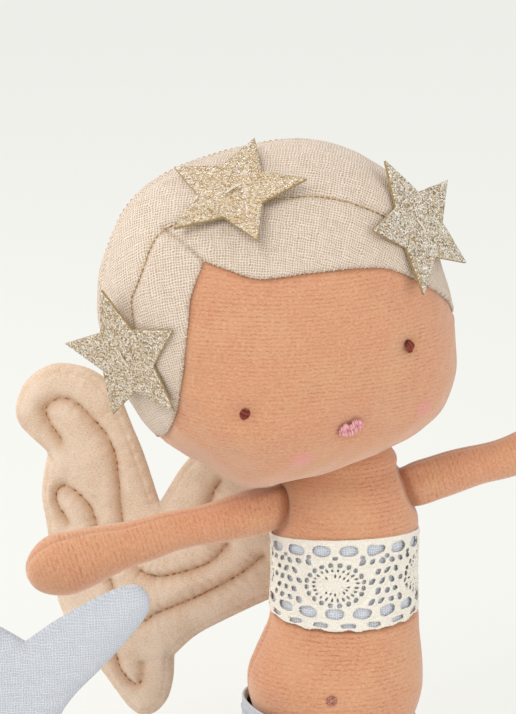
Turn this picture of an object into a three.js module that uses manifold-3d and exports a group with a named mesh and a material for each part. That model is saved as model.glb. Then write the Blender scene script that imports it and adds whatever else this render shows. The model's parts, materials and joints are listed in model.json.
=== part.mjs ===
// A stuffed mermaid doll that sits on its curled tail, in millimetres, +Z up, facing -Y.
// Left and right are the viewer's. The origin is on the floor, under the middle of the hips.
import * as THREE from 'three';
import { mergeVertices } from 'three/addons/utils/BufferGeometryUtils.js';
import Module from 'manifold-3d';

const wasm = await Module();
wasm.setup();

// Cloth and clearances
const GAP = 0.3;
const SEAM = 0.3;
const VELOUR = 1.6;
const LINEN = 1.5;
const WING_CLOTH = 1.1;
const BACKING = 0.8;
const LACE = 1.0;

// Head: a rounded-square ball, tilted about the neck and turned a little
const HEAD_WIDTH = 105;
const HEAD_DEPTH = 82;
const HEAD_HEIGHT = 107;
const HEAD_SQUARENESS = 2.6;
const HEAD_FULLNESS = 2.2;
const HEAD_TILT = -18.5;
const HEAD_TURN = 6;
const HEAD_ASIDE = -2.8;
const HEAD_FORWARD = 4;
const HEAD_ABOVE_NECK = 2.5;
const SIDE_SEAM_BACK = 3;

// Face: the parting and the places where the hairline meets the side seams, on the ball
const PARTING = [-23, 35];
const FRINGE = [[-18, 31], [-9.8, 25.2], [5, 21.4], [22, 16], [33, 9], [47, -8.5]];
const TEMPLE = [[-30.3, 26.6], [-34, 19], [-40.5, 3.5], [-45.5, -8.5]];
const HAIRLINE_DROP = 14;
const EYE_SPACING = 55.2;
const EYE_BELOW_MIDDLE = 13;
const EYE_WIDTH = 3.2;
const EYE_HEIGHT = 4.3;
const MOUTH_BELOW_MIDDLE = 30.6;
const MOUTH_WIDTH = 8;
const MOUTH_HEIGHT = 5.4;
const EMBROIDERY = 0.9;

// Felt stars and the stitch that holds each of them
const STAR_RADIUS = 22.5;
const STAR_NOTCH_RADIUS = 11;
const STAR_THICKNESS = 1.3;
const STAR_STITCH_LENGTH = 7;
const STITCH_THREAD = 0.8;

// Torso: from the hip ball up to the neck dome
const HIP_HEIGHT = 60;
const HIP_WIDTH = 60;
const HIP_DEPTH = 50;
const WAIST_HEIGHT = 81;
const WAIST_WIDTH = 45;
const WAIST_DEPTH = 39;
const CHEST_HEIGHT = 110;
const CHEST_WIDTH = 46.5;
const CHEST_DEPTH = 39;
const NECK_HEIGHT = 129;
const NECK_WIDTH = 35;
const NECK_DEPTH = 28;
const NECK_WRAP = 12;
const BAND_BOTTOM = 82.5;
const BAND_TOP = 109.5;
const NAVEL_HEIGHT = 60;
const NAVEL_ASIDE = -7.8;
const NAVEL_RADIUS = 1.5;

// Arms: tubes with a round hand, on a ball root that is sunk into the shoulder
const ARM_LENGTH = 77;
const ARM_RADIUS = 7.1;
const HAND_RADIUS = 9.8;
const HAND_LENGTH = 26;
const ARM_STANDOFF = 1.5;
const LEFT_SHOULDER_HEIGHT = 118.3;
const RIGHT_SHOULDER_HEIGHT = 123.5;
const SHOULDER_FORWARD = 3;
const LEFT_ARM_RISE = -9.8;
const RIGHT_ARM_RISE = 14;
const RIGHT_ARM_BEND = 17;
const ARM_BEND_START = 25;

// Wings: wadded cloth, hung on upright seams at the back
const WING_ROOT_HEIGHT = 105;
const WING_ROOT_SPREAD = 6;
const WING_HALF_THICKNESS = 4.6;
const WING_EDGE = 1.1;
const WING_SEAT_GAP = 0.1;
const LEFT_WING_SWEEP = 25;
const LEFT_WING_FLATTEST = 13;
const RIGHT_WING_SWEEP = 71;
const RIGHT_WING_FLATTEST = 50;
const WING_MIDDLE = [58, -11];
const WING_LOBES = [
  [[0, -21], [15, -28], [31, -37], [42, -44], [49, -50]],
  [[50, -60], [52, -68], [58, -74], [65, -72.5], [75, -60], [86, -47]],
  [[92, -30], [94, -10], [95.6, 0], [95, 8], [93.2, 16.4]],
  [[102.6, 24.8], [104.2, 32], [99.7, 41.4], [90, 47], [78, 45.7], [69.3, 38.7], [63.6, 26.3], [59.8, 17],
    [54.7, 1.3]],
  [[44.6, 17.4], [33, 28], [15, 27], [0, 18]],
];

// Tail: a seat under the hips, an end that curls up on the left, and a two-lobed fin
const SEAT_WIDTH = 67;
const SEAT_DEPTH = 56;
const SEAT_BASE_WIDTH = 56;
const SEAT_BASE_DEPTH = 47;
const SEAT_RIM_WIDTH = 62;
const SEAT_RIM_DEPTH = 52;
const SEAT_RIM_HEIGHT = 51;
const SEAT_FULL_HEIGHT = 30;
const FLOOR_CUT = 0.5;
const TAIL_JOINT = [-52, -18, 18];
const TAIL_RADIUS = 18.5;
const TAIL_SOCKET_WRAP = 9;
const TAIL_CURL = [[-76, -27, 17], [-97, -36, 24], [-106, -41, 40]];
const TAIL_TIP_WIDTH = 18;
const TAIL_TIP_THICKNESS = 12;
const FIN_ROOT = [-106.4, -42, 62];
const FIN_ROOT_GAP = 0.9;
const FIN_HALF_THICKNESS = 5;
const FIN_EDGE = 1.35;
const FIN_MIDDLE = [0, 13];
const FIN_LOBE = [[8, 0], [10.3, 7], [15, 13.4], [22.5, 20.7], [28.5, 27], [35, 34.5], [38, 40], [36.5, 45],
  [32, 46.3], [23.4, 44], [15.4, 40], [9.2, 36.5]];
const FIN_NOTCH = [0, 30.6];

// How finely the forms are divided
const HEAD_STEPS = { around: 28, along: 14 };
const HEAD_CORE_STEPS = { around: 16, along: 8 };
const EYE_SIDES = 14;
const TORSO_SIDES = 24;
const TORSO_STEPS = 5;
const BAND_STEPS = 3;
const NAVEL_STEPS = { round: 12, thread: 6 };
const ARM_SIDES = 12;
const CORE_SIDES = 12;
const CORE_STEPS = 3;
const ARM_CORE_SIDES = 8;
const TAIL_SIDES = 16;
const TAIL_STEPS = 8;
const SEAT_STEPS = 4;
const NECK_SOCKET_STEPS = [24, 12];
const ARM_SOCKET_STEPS = [16, 8];
const HIP_SOCKET_STEPS = [28, 16];
const TAIL_SOCKET_STEPS = [24, 14];
const PILLOW_RINGS = [0.45, 0.8, 1];
const WADDING_RINGS = [0.45, 0.8];

const AXIS_X = new THREE.Vector3(1, 0, 0);
const AXIS_Y = new THREE.Vector3(0, 1, 0);
const radians = THREE.MathUtils.degToRad;
const vector = (list) => new THREE.Vector3(...list);
const signedPower = (value, power) => Math.sign(value) * Math.abs(value) ** power;

// Surfaces

// A closed mesh from points and triangles, with its faces turned outwards.
function asGeometry(points, triangles) {
  const cross = new THREE.Vector3();
  const sixVolumes = triangles.map(([i, j, k]) => points[i].dot(cross.crossVectors(points[j], points[k])));
  const inward = sixVolumes.reduce((sum, value) => sum + value, 0) < 0;
  const turned = inward ? triangles.map(([i, j, k]) => [i, k, j]) : triangles;
  const geometry = new THREE.BufferGeometry();
  geometry.setAttribute('position', new THREE.Float32BufferAttribute(points.flatMap((p) => p.toArray()), 3));
  geometry.setIndex(turned.flat());
  geometry.computeVertexNormals();
  return geometry;
}

// A skin over rings of equally many points, closed by a point at each end.
function loft(rings, firstPole, lastPole) {
  const sides = rings[0].length;
  const points = [...rings.flat(), firstPole, lastPole];
  const last = (rings.length - 1) * sides;
  const triangles = [];
  for (let i = 0; i < sides; i += 1) {
    const j = (i + 1) % sides;
    triangles.push([points.length - 2, j, i], [points.length - 1, last + i, last + j]);
    for (let row = 0; row < last; row += sides) {
      triangles.push([row + i, row + j, row + sides + j], [row + i, row + sides + j, row + sides + i]);
    }
  }
  return asGeometry(points, triangles);
}

// An ellipse of points about a centre, in the plane of two directions.
function ellipse(centre, side, up, halfWidth, halfHeight, sides) {
  const ring = [];
  for (let i = 0; i < sides; i += 1) {
    const angle = (2 * Math.PI * i) / sides;
    const offset = side.clone().multiplyScalar(halfWidth * Math.cos(angle));
    ring.push(centre.clone().add(offset).addScaledVector(up, halfHeight * Math.sin(angle)));
  }
  return ring;
}

// A cushion over a flat outline: rings shrunk towards the middle, a face on each side and a rim.
function pillow(outline, middle, rings, front, back) {
  const sides = outline.length;
  const place = (rho, i, height) => new THREE.Vector3(
    middle[0] + rho * (outline[i][0] - middle[0]),
    height,
    middle[1] + rho * (outline[i][1] - middle[1]),
  );
  const face = (height) => rings.flatMap((rho) => outline.map((_, i) => place(rho, i, height(rho))));
  const points = [...face(front), ...face(back), place(0, 0, front(0)), place(0, 0, back(0))];
  const half = rings.length * sides;
  const rim = half - sides;
  const triangles = [];
  for (let i = 0; i < sides; i += 1) {
    const j = (i + 1) % sides;
    triangles.push([2 * half, i, j], [2 * half + 1, half + j, half + i]);
    for (let row = 0; row < rim; row += sides) {
      triangles.push([row + i, row + sides + i, row + sides + j], [row + i, row + sides + j, row + j]);
      triangles.push([half + row + i, half + row + sides + j, half + row + sides + i]);
      triangles.push([half + row + i, half + row + j, half + row + sides + j]);
    }
    triangles.push([rim + i, half + rim + i, half + rim + j], [rim + i, half + rim + j, rim + j]);
  }
  return asGeometry(points, triangles);
}

// Joins and cuts

function solid(geometry) {
  const bare = geometry.clone();
  bare.deleteAttribute('normal');
  bare.deleteAttribute('uv');
  const merged = mergeVertices(bare, 1e-4);
  return new wasm.Manifold(new wasm.Mesh({
    numProp: 3,
    vertProperties: new Float32Array(merged.attributes.position.array),
    triVerts: new Uint32Array(merged.index.array),
  }));
}

function geometryOf(manifold) {
  const { vertProperties, triVerts } = manifold.getMesh();
  const geometry = new THREE.BufferGeometry();
  geometry.setAttribute('position', new THREE.BufferAttribute(new Float32Array(vertProperties), 3));
  geometry.setIndex(new THREE.BufferAttribute(new Uint32Array(triVerts), 1));
  geometry.computeVertexNormals();
  return geometry;
}

// A faceted ball that lies wholly outside the round one, for cutting sockets.
function socketBall(centre, radii, [across, down]) {
  const outside = 1 / (Math.cos(Math.PI / across) * Math.cos(Math.PI / (2 * down)));
  const sphere = new THREE.SphereGeometry(outside, across, down);
  return sphere.scale(...radii).translate(...centre);
}

// Everything on one side of a plane through a point on the Y axis: sign -1 is the front.
function halfSpace(sign, y, reach) {
  const box = new THREE.BoxGeometry(2 * reach, reach, 2 * reach);
  return solid(box.translate(0, y + (sign * reach) / 2, 0));
}

// Colours and finishes

const cloth = (color, roughness = 0.95) => new THREE.MeshStandardMaterial({ color, roughness, metalness: 0 });
const SKIN_VELOUR = cloth('#dba27e');
const HAIR_LINEN = cloth('#e3d5c4');
const TAIL_LINEN = cloth('#cdd3dc');
const WING_VELOUR = cloth('#e6d0b8');
const LACE_COTTON = cloth('#efebe0');
const STUFFING = cloth('#f4f2ee', 1);
const EYE_THREAD = cloth('#5a1e14', 0.7);
const MOUTH_THREAD = cloth('#d98a8e', 0.7);
const NAVEL_THREAD = cloth('#a5695a', 0.8);
const GOLD_THREAD = cloth('#b08d4c', 0.5);
const GLITTER_FELT = new THREE.MeshStandardMaterial({ color: '#cdbb94', roughness: 0.45, metalness: 0.5 });

function piece(parent, name, geometry, material) {
  const mesh = new THREE.Mesh(geometry, material);
  mesh.name = name;
  parent.add(mesh);
  return mesh;
}

// Torso

const neck = new THREE.Vector3(0, 0, NECK_HEIGHT);
const neckRadius = NECK_WIDTH / 2;
const hipRadius = HIP_WIDTH / 2;
const wrap = radians(NECK_WRAP);
const domeStart = NECK_HEIGHT - neckRadius * Math.sin(wrap);

// Half width and half depth of the torso at a height between the hips and the neck dome: straight sides up to the
// chest, then rounded shoulders.
function torsoSection(height) {
  const stations = [
    [HIP_HEIGHT, HIP_WIDTH / 2, HIP_DEPTH / 2],
    [WAIST_HEIGHT, WAIST_WIDTH / 2, WAIST_DEPTH / 2],
    [CHEST_HEIGHT, CHEST_WIDTH / 2, CHEST_DEPTH / 2],
    [domeStart, neckRadius * Math.cos(wrap), (NECK_DEPTH / 2) * Math.cos(wrap)],
  ];
  const upper = Math.max(1, stations.findIndex((station) => station[0] >= height));
  const [low, high] = [stations[upper - 1], stations[upper]];
  const climb = THREE.MathUtils.clamp((height - low[0]) / (high[0] - low[0]), 0, 1);
  const rounded = 1 - Math.sqrt(1 - climb ** 2);
  const share = upper === stations.length - 1 ? rounded : climb;
  return [THREE.MathUtils.lerp(low[1], high[1], share), THREE.MathUtils.lerp(low[2], high[2], share)];
}

const torsoRing = (height, halfWidth, halfDepth, sides) => ellipse(
  new THREE.Vector3(0, 0, height), AXIS_X, AXIS_Y, halfWidth, halfDepth, sides);

// The hip ball, the waisted middle and the neck dome, all drawn in by the inset.
function torsoForm(inset, sides, steps) {
  const rings = [];
  for (let i = 1; i <= steps; i += 1) {
    const angle = (Math.PI / 2) * (i / steps);
    const drop = (hipRadius - inset) * Math.cos(angle);
    const [halfWidth, halfDepth] = [hipRadius - inset, HIP_DEPTH / 2 - inset].map((r) => r * Math.sin(angle));
    rings.push(torsoRing(HIP_HEIGHT - drop, halfWidth, halfDepth, sides));
  }
  const heights = [WAIST_HEIGHT, CHEST_HEIGHT];
  for (let i = 1; i < steps; i += 1) heights.push(THREE.MathUtils.lerp(CHEST_HEIGHT, domeStart, i / steps));
  for (const height of heights) {
    const [halfWidth, halfDepth] = torsoSection(height);
    rings.push(torsoRing(height, halfWidth - inset, halfDepth - inset, sides));
  }
  for (let i = 0; i < steps; i += 1) {
    const angle = THREE.MathUtils.lerp(-wrap, Math.PI / 2, i / steps);
    const rise = (neckRadius - inset) * Math.sin(angle);
    const [halfWidth, halfDepth] = [neckRadius, NECK_DEPTH / 2].map((r) => (r - inset) * Math.cos(angle));
    rings.push(torsoRing(NECK_HEIGHT + rise, halfWidth, halfDepth, sides));
  }
  const bottom = new THREE.Vector3(0, 0, HIP_HEIGHT - hipRadius + inset);
  const top = new THREE.Vector3(0, 0, NECK_HEIGHT + neckRadius - inset);
  return loft(rings, bottom, top);
}

// A strip of cloth round the torso, between two distances from its cover.
function torsoStrip(inner, outer, bottom, top) {
  const skin = (offset, overrun) => {
    const rings = [];
    for (let i = 0; i <= BAND_STEPS; i += 1) {
      const height = THREE.MathUtils.lerp(bottom - overrun, top + overrun, i / BAND_STEPS);
      const [halfWidth, halfDepth] = torsoSection(THREE.MathUtils.clamp(height, bottom, top));
      rings.push(torsoRing(height, halfWidth + offset, halfDepth + offset, TORSO_SIDES));
    }
    const end = (height) => new THREE.Vector3(0, 0, height);
    return solid(loft(rings, end(bottom - overrun), end(top + overrun)));
  };
  return geometryOf(skin(outer, 0).subtract(skin(inner, 1)));
}

// The ball root of an arm lies this far outside the torso's cover.
function shoulder(side, height) {
  const [halfWidth, halfDepth] = torsoSection(height);
  const across = halfWidth * Math.sqrt(1 - (SHOULDER_FORWARD / halfDepth) ** 2);
  return new THREE.Vector3(side * (across + ARM_STANDOFF), -SHOULDER_FORWARD, height);
}

const shoulders = { left: shoulder(-1, LEFT_SHOULDER_HEIGHT), right: shoulder(1, RIGHT_SHOULDER_HEIGHT) };

function makeTorso() {
  const group = new THREE.Group();
  const socketRadii = Array(3).fill(ARM_RADIUS + GAP);
  const sockets = Object.values(shoulders).map((at) => solid(
    socketBall(at.toArray(), socketRadii, ARM_SOCKET_STEPS)));
  const withSockets = (form) => sockets.reduce((rest, socket) => rest.subtract(socket), form);
  const core = (inset) => solid(torsoForm(inset, CORE_SIDES, CORE_STEPS));
  const cover = withSockets(solid(torsoForm(0, TORSO_SIDES, TORSO_STEPS)).subtract(core(VELOUR)));
  const reach = 2 * NECK_HEIGHT;
  const front = cover.intersect(halfSpace(-1, -SEAM / 2, reach));
  const back = cover.intersect(halfSpace(1, SEAM / 2, reach));
  piece(group, 'torso_front_panel', geometryOf(front), SKIN_VELOUR);
  piece(group, 'torso_back_panel', geometryOf(back), SKIN_VELOUR);
  piece(group, 'torso_filling', geometryOf(withSockets(core(VELOUR + GAP))), STUFFING);
  const lining = torsoStrip(GAP, GAP + BACKING, BAND_BOTTOM, BAND_TOP);
  const laceInner = 2 * GAP + BACKING;
  piece(group, 'band_lining', lining, TAIL_LINEN);
  piece(group, 'lace_band', torsoStrip(laceInner, laceInner + LACE, BAND_BOTTOM, BAND_TOP), LACE_COTTON);
  const ring = new THREE.TorusGeometry(NAVEL_RADIUS, EMBROIDERY / 2, NAVEL_STEPS.thread, NAVEL_STEPS.round);
  const navel = piece(group, 'navel_knot', ring, NAVEL_THREAD);
  const [halfWidth, halfDepth] = torsoSection(NAVEL_HEIGHT);
  const share = NAVEL_ASIDE / halfWidth;
  const at = new THREE.Vector3(NAVEL_ASIDE, -halfDepth * Math.sqrt(1 - share ** 2), NAVEL_HEIGHT);
  const normal = new THREE.Vector3(at.x / halfWidth ** 2, at.y / halfDepth ** 2, 0).normalize();
  navel.rotation.x = Math.PI / 2;
  navel.rotation.z = Math.atan2(normal.x, -normal.y);
  navel.rotation.order = 'ZXY';
  navel.position.copy(at).addScaledVector(normal, GAP + EMBROIDERY / 2);
  return group;
}

// Arms, each in its own frame with X along the arm from the centre of its ball root

// Radius at a distance from the root's centre: ball root, even tube, and a round hand.
function armRadius(along, inset) {
  const radius = ARM_RADIUS - inset;
  const hand = HAND_RADIUS - inset;
  const handStart = ARM_LENGTH - HAND_LENGTH;
  const handMiddle = ARM_LENGTH - HAND_LENGTH / 2;
  if (along < 0) return Math.sqrt(Math.max(0, radius ** 2 - along ** 2));
  if (along > handMiddle) {
    const past = (along - handMiddle) / (HAND_LENGTH / 2 - inset);
    return hand * Math.sqrt(Math.max(0, 1 - past ** 2));
  }
  const swell = THREE.MathUtils.smoothstep(along, handStart - HAND_LENGTH / 2, handMiddle);
  return THREE.MathUtils.lerp(radius, hand, swell);
}

// The arm's middle line: straight at first, then bent evenly up to the bend angle.
function armLine(along, bend) {
  const bent = Math.max(0, along - ARM_BEND_START);
  const angle = radians(bend) * (bent / (ARM_LENGTH - ARM_BEND_START));
  const straight = along - bent;
  const chord = angle === 0 ? bent : (bent * Math.sin(angle / 2)) / (angle / 2);
  const at = new THREE.Vector3(straight + chord * Math.cos(angle / 2), 0, chord * Math.sin(angle / 2));
  return { at, up: new THREE.Vector3(-Math.sin(angle), 0, Math.cos(angle)) };
}

// Stations from the root's pole to the tip; an open root keeps a round mouth instead of a pole.
function armForm(inset, bend, sides, mouth) {
  const start = -ARM_RADIUS + inset;
  const end = ARM_LENGTH - inset;
  const handMiddle = ARM_LENGTH - HAND_LENGTH / 2;
  const root = [0.92, 0.7, 0.38].map((share) => share * start);
  const tube = [0, 0.25, 0.5, 0.68, 0.86, 1].map((share) => share * handMiddle);
  const tip = [0.45, 0.8, 0.96].map((share) => THREE.MathUtils.lerp(handMiddle, end, share));
  const open = mouth > 0 ? [start - 2 * inset] : [];
  const ring = (along) => {
    const { at, up } = armLine(along, bend);
    const radius = Math.max(armRadius(along, inset), along < 0 ? mouth : 0);
    return ellipse(at, AXIS_Y, up, radius, radius, sides);
  };
  const firstPole = new THREE.Vector3(mouth > 0 ? open[0] : start, 0, 0);
  return loft([...open, ...root, ...tube, ...tip].map(ring), firstPole, armLine(end, bend).at);
}

function makeArm(side, rise, bend) {
  const group = new THREE.Group();
  const mouth = ARM_RADIUS / 2;
  const hollow = solid(armForm(VELOUR, bend, ARM_CORE_SIDES, mouth));
  const cover = solid(armForm(0, bend, ARM_SIDES, 0)).subtract(hollow);
  piece(group, `${side}_arm_cover`, geometryOf(cover), SKIN_VELOUR);
  piece(group, `${side}_arm_filling`, armForm(VELOUR + GAP, bend, ARM_CORE_SIDES, 0), STUFFING);
  group.position.copy(shoulders[side]);
  group.rotation.y = side === 'left' ? Math.PI + radians(rise) : -radians(rise);
  return group;
}

// Head, in its own frame about the middle of the ball

const headHalf = [HEAD_WIDTH / 2, HEAD_DEPTH / 2, HEAD_HEIGHT / 2];
const headMiddle = new THREE.Vector3(HEAD_ASIDE, -HEAD_FORWARD, HEAD_HEIGHT / 2 + HEAD_ABOVE_NECK);
const headTilt = new THREE.Matrix4().makeRotationY(radians(HEAD_TILT));
const headTurn = new THREE.Matrix4().makeRotationZ(radians(HEAD_TURN));
const headFrame = new THREE.Matrix4().setPosition(neck)
  .multiply(headTilt)
  .multiply(new THREE.Matrix4().setPosition(headMiddle))
  .multiply(headTurn);

// Rings round the front-to-back axis: a super-ellipse seen from the front, rounded in depth.
function headForm(inset, { around, along }) {
  const [a, b, c] = headHalf.map((half) => half - inset);
  const rings = [];
  for (let j = 1; j < along; j += 1) {
    const v = Math.PI * (j / along - 0.5);
    const reach = Math.cos(v) ** (2 / HEAD_FULLNESS);
    const y = b * signedPower(Math.sin(v), 2 / HEAD_FULLNESS);
    const ring = [];
    for (let i = 0; i < around; i += 1) {
      const u = (2 * Math.PI * i) / around;
      const x = a * reach * signedPower(Math.cos(u), 2 / HEAD_SQUARENESS);
      ring.push(new THREE.Vector3(x, y, c * reach * signedPower(Math.sin(u), 2 / HEAD_SQUARENESS)));
    }
    rings.push(ring);
  }
  return loft(rings, new THREE.Vector3(0, -b, 0), new THREE.Vector3(0, b, 0));
}

// A point of the face seen from the front, and the direction its surface faces there.
function onFace(x, z) {
  const [a, b, c] = headHalf;
  const sum = Math.abs(x / a) ** HEAD_SQUARENESS + Math.abs(z / c) ** HEAD_SQUARENESS;
  const across = sum ** (1 / HEAD_SQUARENESS);
  const depth = Math.max(0, 1 - across ** HEAD_FULLNESS) ** (1 / HEAD_FULLNESS);
  const roundness = across ** (HEAD_FULLNESS - HEAD_SQUARENESS);
  const normal = new THREE.Vector3(
    (roundness * signedPower(x / a, HEAD_SQUARENESS - 1)) / a,
    -(depth ** (HEAD_FULLNESS - 1)) / b,
    (roundness * signedPower(z / c, HEAD_SQUARENESS - 1)) / c,
  );
  return { at: new THREE.Vector3(x, -b * depth, z), normal: normal.normalize() };
}

// The point of the ball where a flat plate that faces along a direction touches it.
function touchedBy(normal) {
  const [a, b, c] = headHalf;
  const flat = HEAD_SQUARENESS / (HEAD_SQUARENESS - 1);
  const deep = HEAD_FULLNESS / (HEAD_FULLNESS - 1);
  const across = (Math.abs(a * normal.x) ** flat + Math.abs(c * normal.z) ** flat) ** (1 / flat);
  const reach = (across ** deep + Math.abs(b * normal.y) ** deep) ** (1 / deep);
  const level = across ** (deep - flat) * reach ** (1 - deep);
  return new THREE.Vector3(
    a * signedPower(a * normal.x, flat - 1) * level,
    b * signedPower(b * normal.y, deep - 1) * reach ** (1 - deep),
    c * signedPower(c * normal.z, flat - 1) * level,
  );
}

// Sets a flat piece on the head: its Z axis along the normal, its Y axis up, moved aside and turned.
function setOnHead(mesh, at, normal, turn, clearance, aside = [0, 0]) {
  const up = new THREE.Vector3(0, 0, 1).addScaledVector(normal, -normal.z).normalize();
  const right = up.clone().cross(normal);
  mesh.quaternion.setFromRotationMatrix(new THREE.Matrix4().makeBasis(right, up, normal));
  mesh.rotateZ(-radians(turn));
  mesh.position.copy(at).addScaledVector(normal, clearance);
  mesh.position.addScaledVector(right, aside[0]).addScaledVector(up, aside[1]);
}

// The face's outline seen from the front: parting, fringe and temple, then out past the ball.
function faceCutter(grow) {
  const reach = HEAD_WIDTH;
  const raised = FRINGE.map(([x, z]) => [x, z + grow]);
  const widened = TEMPLE.map(([x, z]) => [x - grow, z]).reverse();
  const [fringeEnd, templeEnd] = [raised.at(-1), widened[0]];
  const fringeDrop = fringeEnd[1] - HAIRLINE_DROP;
  const templeDrop = templeEnd[1] - HAIRLINE_DROP;
  const outline = [
    [PARTING[0] - grow, PARTING[1] + grow], ...raised,
    [HEAD_WIDTH / 2, fringeDrop], [reach, fringeDrop], [reach, -reach],
    [-reach, -reach], [-reach, templeDrop], [-HEAD_WIDTH / 2, templeDrop], ...widened,
  ];
  const shape = new THREE.Shape(outline.map(([x, z]) => new THREE.Vector2(x, z)));
  const block = new THREE.ExtrudeGeometry(shape, { depth: HEAD_DEPTH, bevelEnabled: false });
  return solid(block.rotateX(Math.PI / 2).translate(0, SIDE_SEAM_BACK - SEAM / 2, 0));
}

// A round dome of thread, flat underneath.
function threadDome(width, height) {
  const profile = [[0, 0], [0.5, 0], [0.46, 0.5], [0.3, 0.85], [0, 1]];
  const points = profile.map(([r, t]) => new THREE.Vector2(r * width, t * EMBROIDERY));
  const dome = new THREE.LatheGeometry(points, EYE_SIDES);
  return dome.rotateX(Math.PI / 2).scale(1, height / width, 1);
}

// Two upper bows and a rounded point below, drawn in one line.
function mouthShape() {
  const [w, h] = [MOUTH_WIDTH / 2, MOUTH_HEIGHT / 2];
  const shape = new THREE.Shape();
  shape.moveTo(0, 0.55 * h);
  shape.quadraticCurveTo(0.5 * w, 1.4 * h, w, 0.3 * h);
  shape.quadraticCurveTo(0.7 * w, -h, 0, -h);
  shape.quadraticCurveTo(-0.7 * w, -h, -w, 0.3 * h);
  shape.quadraticCurveTo(-0.5 * w, 1.4 * h, 0, 0.55 * h);
  return new THREE.ExtrudeGeometry(shape, { depth: EMBROIDERY, bevelEnabled: false, curveSegments: 5 });
}

function starGeometry() {
  const shape = new THREE.Shape();
  for (let i = 0; i < 10; i += 1) {
    const radius = i % 2 === 0 ? STAR_RADIUS : STAR_NOTCH_RADIUS;
    const angle = (Math.PI * i) / 5;
    const point = [radius * Math.sin(angle), radius * Math.cos(angle)];
    if (i === 0) shape.moveTo(...point);
    else shape.lineTo(...point);
  }
  return new THREE.ExtrudeGeometry(shape, { depth: STAR_THICKNESS, bevelEnabled: false });
}

// Where each star faces, in degrees round and up from the face; how it is turned in its own plane;
// and how far its middle lies to the right and up from the point where it touches the head.
const STARS = [
  { name: 'star_left', facing: [-57, 3], turn: -1, aside: [-8, 3], stitchTurn: -20 },
  { name: 'star_top', facing: [-5, 58], turn: 36, aside: [2, -0.3], stitchTurn: 75 },
  { name: 'star_right', facing: [38, 12], turn: 2, aside: [7.5, -1.7], stitchTurn: -15 },
];

function makeHead() {
  const group = new THREE.Group();
  group.applyMatrix4(headFrame);
  const socketRadii = [neckRadius + GAP, NECK_DEPTH / 2 + GAP, neckRadius + GAP];
  const socketForm = socketBall(neck.toArray(), socketRadii, NECK_SOCKET_STEPS);
  const socket = solid(socketForm.applyMatrix4(headFrame.clone().invert()));
  const hollow = solid(headForm(VELOUR, HEAD_CORE_STEPS));
  const cover = solid(headForm(0, HEAD_STEPS)).subtract(hollow).subtract(socket);
  const front = cover.intersect(halfSpace(-1, SIDE_SEAM_BACK - SEAM / 2, 2 * HEAD_WIDTH));
  const back = cover.intersect(halfSpace(1, SIDE_SEAM_BACK + SEAM / 2, 2 * HEAD_WIDTH));
  piece(group, 'face_panel', geometryOf(front.intersect(faceCutter(0))), SKIN_VELOUR);
  piece(group, 'hair_front_panel', geometryOf(front.subtract(faceCutter(SEAM))), HAIR_LINEN);
  piece(group, 'hair_back_panel', geometryOf(back), HAIR_LINEN);
  const filling = solid(headForm(VELOUR + GAP, HEAD_CORE_STEPS)).subtract(socket);
  piece(group, 'head_filling', geometryOf(filling), STUFFING);
  for (const [name, side] of [['left_eye', -1], ['right_eye', 1]]) {
    const eye = piece(group, name, threadDome(EYE_WIDTH, EYE_HEIGHT), EYE_THREAD);
    const { at, normal } = onFace((side * EYE_SPACING) / 2, -EYE_BELOW_MIDDLE);
    setOnHead(eye, at, normal, 0, GAP);
  }
  const mouth = piece(group, 'mouth', mouthShape(), MOUTH_THREAD);
  const lips = onFace(0, -MOUTH_BELOW_MIDDLE);
  setOnHead(mouth, lips.at, lips.normal, 0, GAP);
  for (const { name, facing, turn, aside, stitchTurn } of STARS) {
    const [round, rise] = facing.map(radians);
    const normal = new THREE.Vector3(
      Math.sin(round) * Math.cos(rise), -Math.cos(round) * Math.cos(rise), Math.sin(rise));
    const at = touchedBy(normal);
    setOnHead(piece(group, name, starGeometry(), GLITTER_FELT), at, normal, turn, GAP, aside);
    const bar = new THREE.CapsuleGeometry(STITCH_THREAD / 2, STAR_STITCH_LENGTH, 3, 8);
    const stitch = piece(group, `${name}_stitch`, bar, GOLD_THREAD);
    setOnHead(stitch, at, normal, stitchTurn, 2 * GAP + STAR_THICKNESS + STITCH_THREAD / 2, aside);
  }
  return group;
}

// Wings, each in its own frame with X out along the wing and Z along the root seam

// Half thickness of a padded piece, from its middle (0) to its edge (1).
const crown = (half, edge) => (rho) => edge + (half - edge) * Math.sqrt(Math.max(0, 1 - rho ** 3));

// A padded piece of two cloths and the wadding between them; front is the side it faces along Y.
function makePadded(name, outline, middle, half, edge, frontSign, material) {
  const group = new THREE.Group();
  const outer = crown(half, edge);
  const inner = (rho) => Math.max(SEAM / 2, outer(rho) - WING_CLOTH);
  const core = (rho) => Math.max(SEAM, inner(rho) - GAP);
  const sided = (sign) => pillow(
    outline, middle, PILLOW_RINGS, (rho) => sign * outer(rho), (rho) => sign * inner(rho));
  piece(group, `${name}_front`, sided(frontSign), material);
  piece(group, `${name}_back`, sided(-frontSign), material);
  const wadding = pillow(outline, middle, WADDING_RINGS, core, (rho) => -core(rho));
  piece(group, `${name}_wadding`, wadding, STUFFING);
  return group;
}

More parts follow.
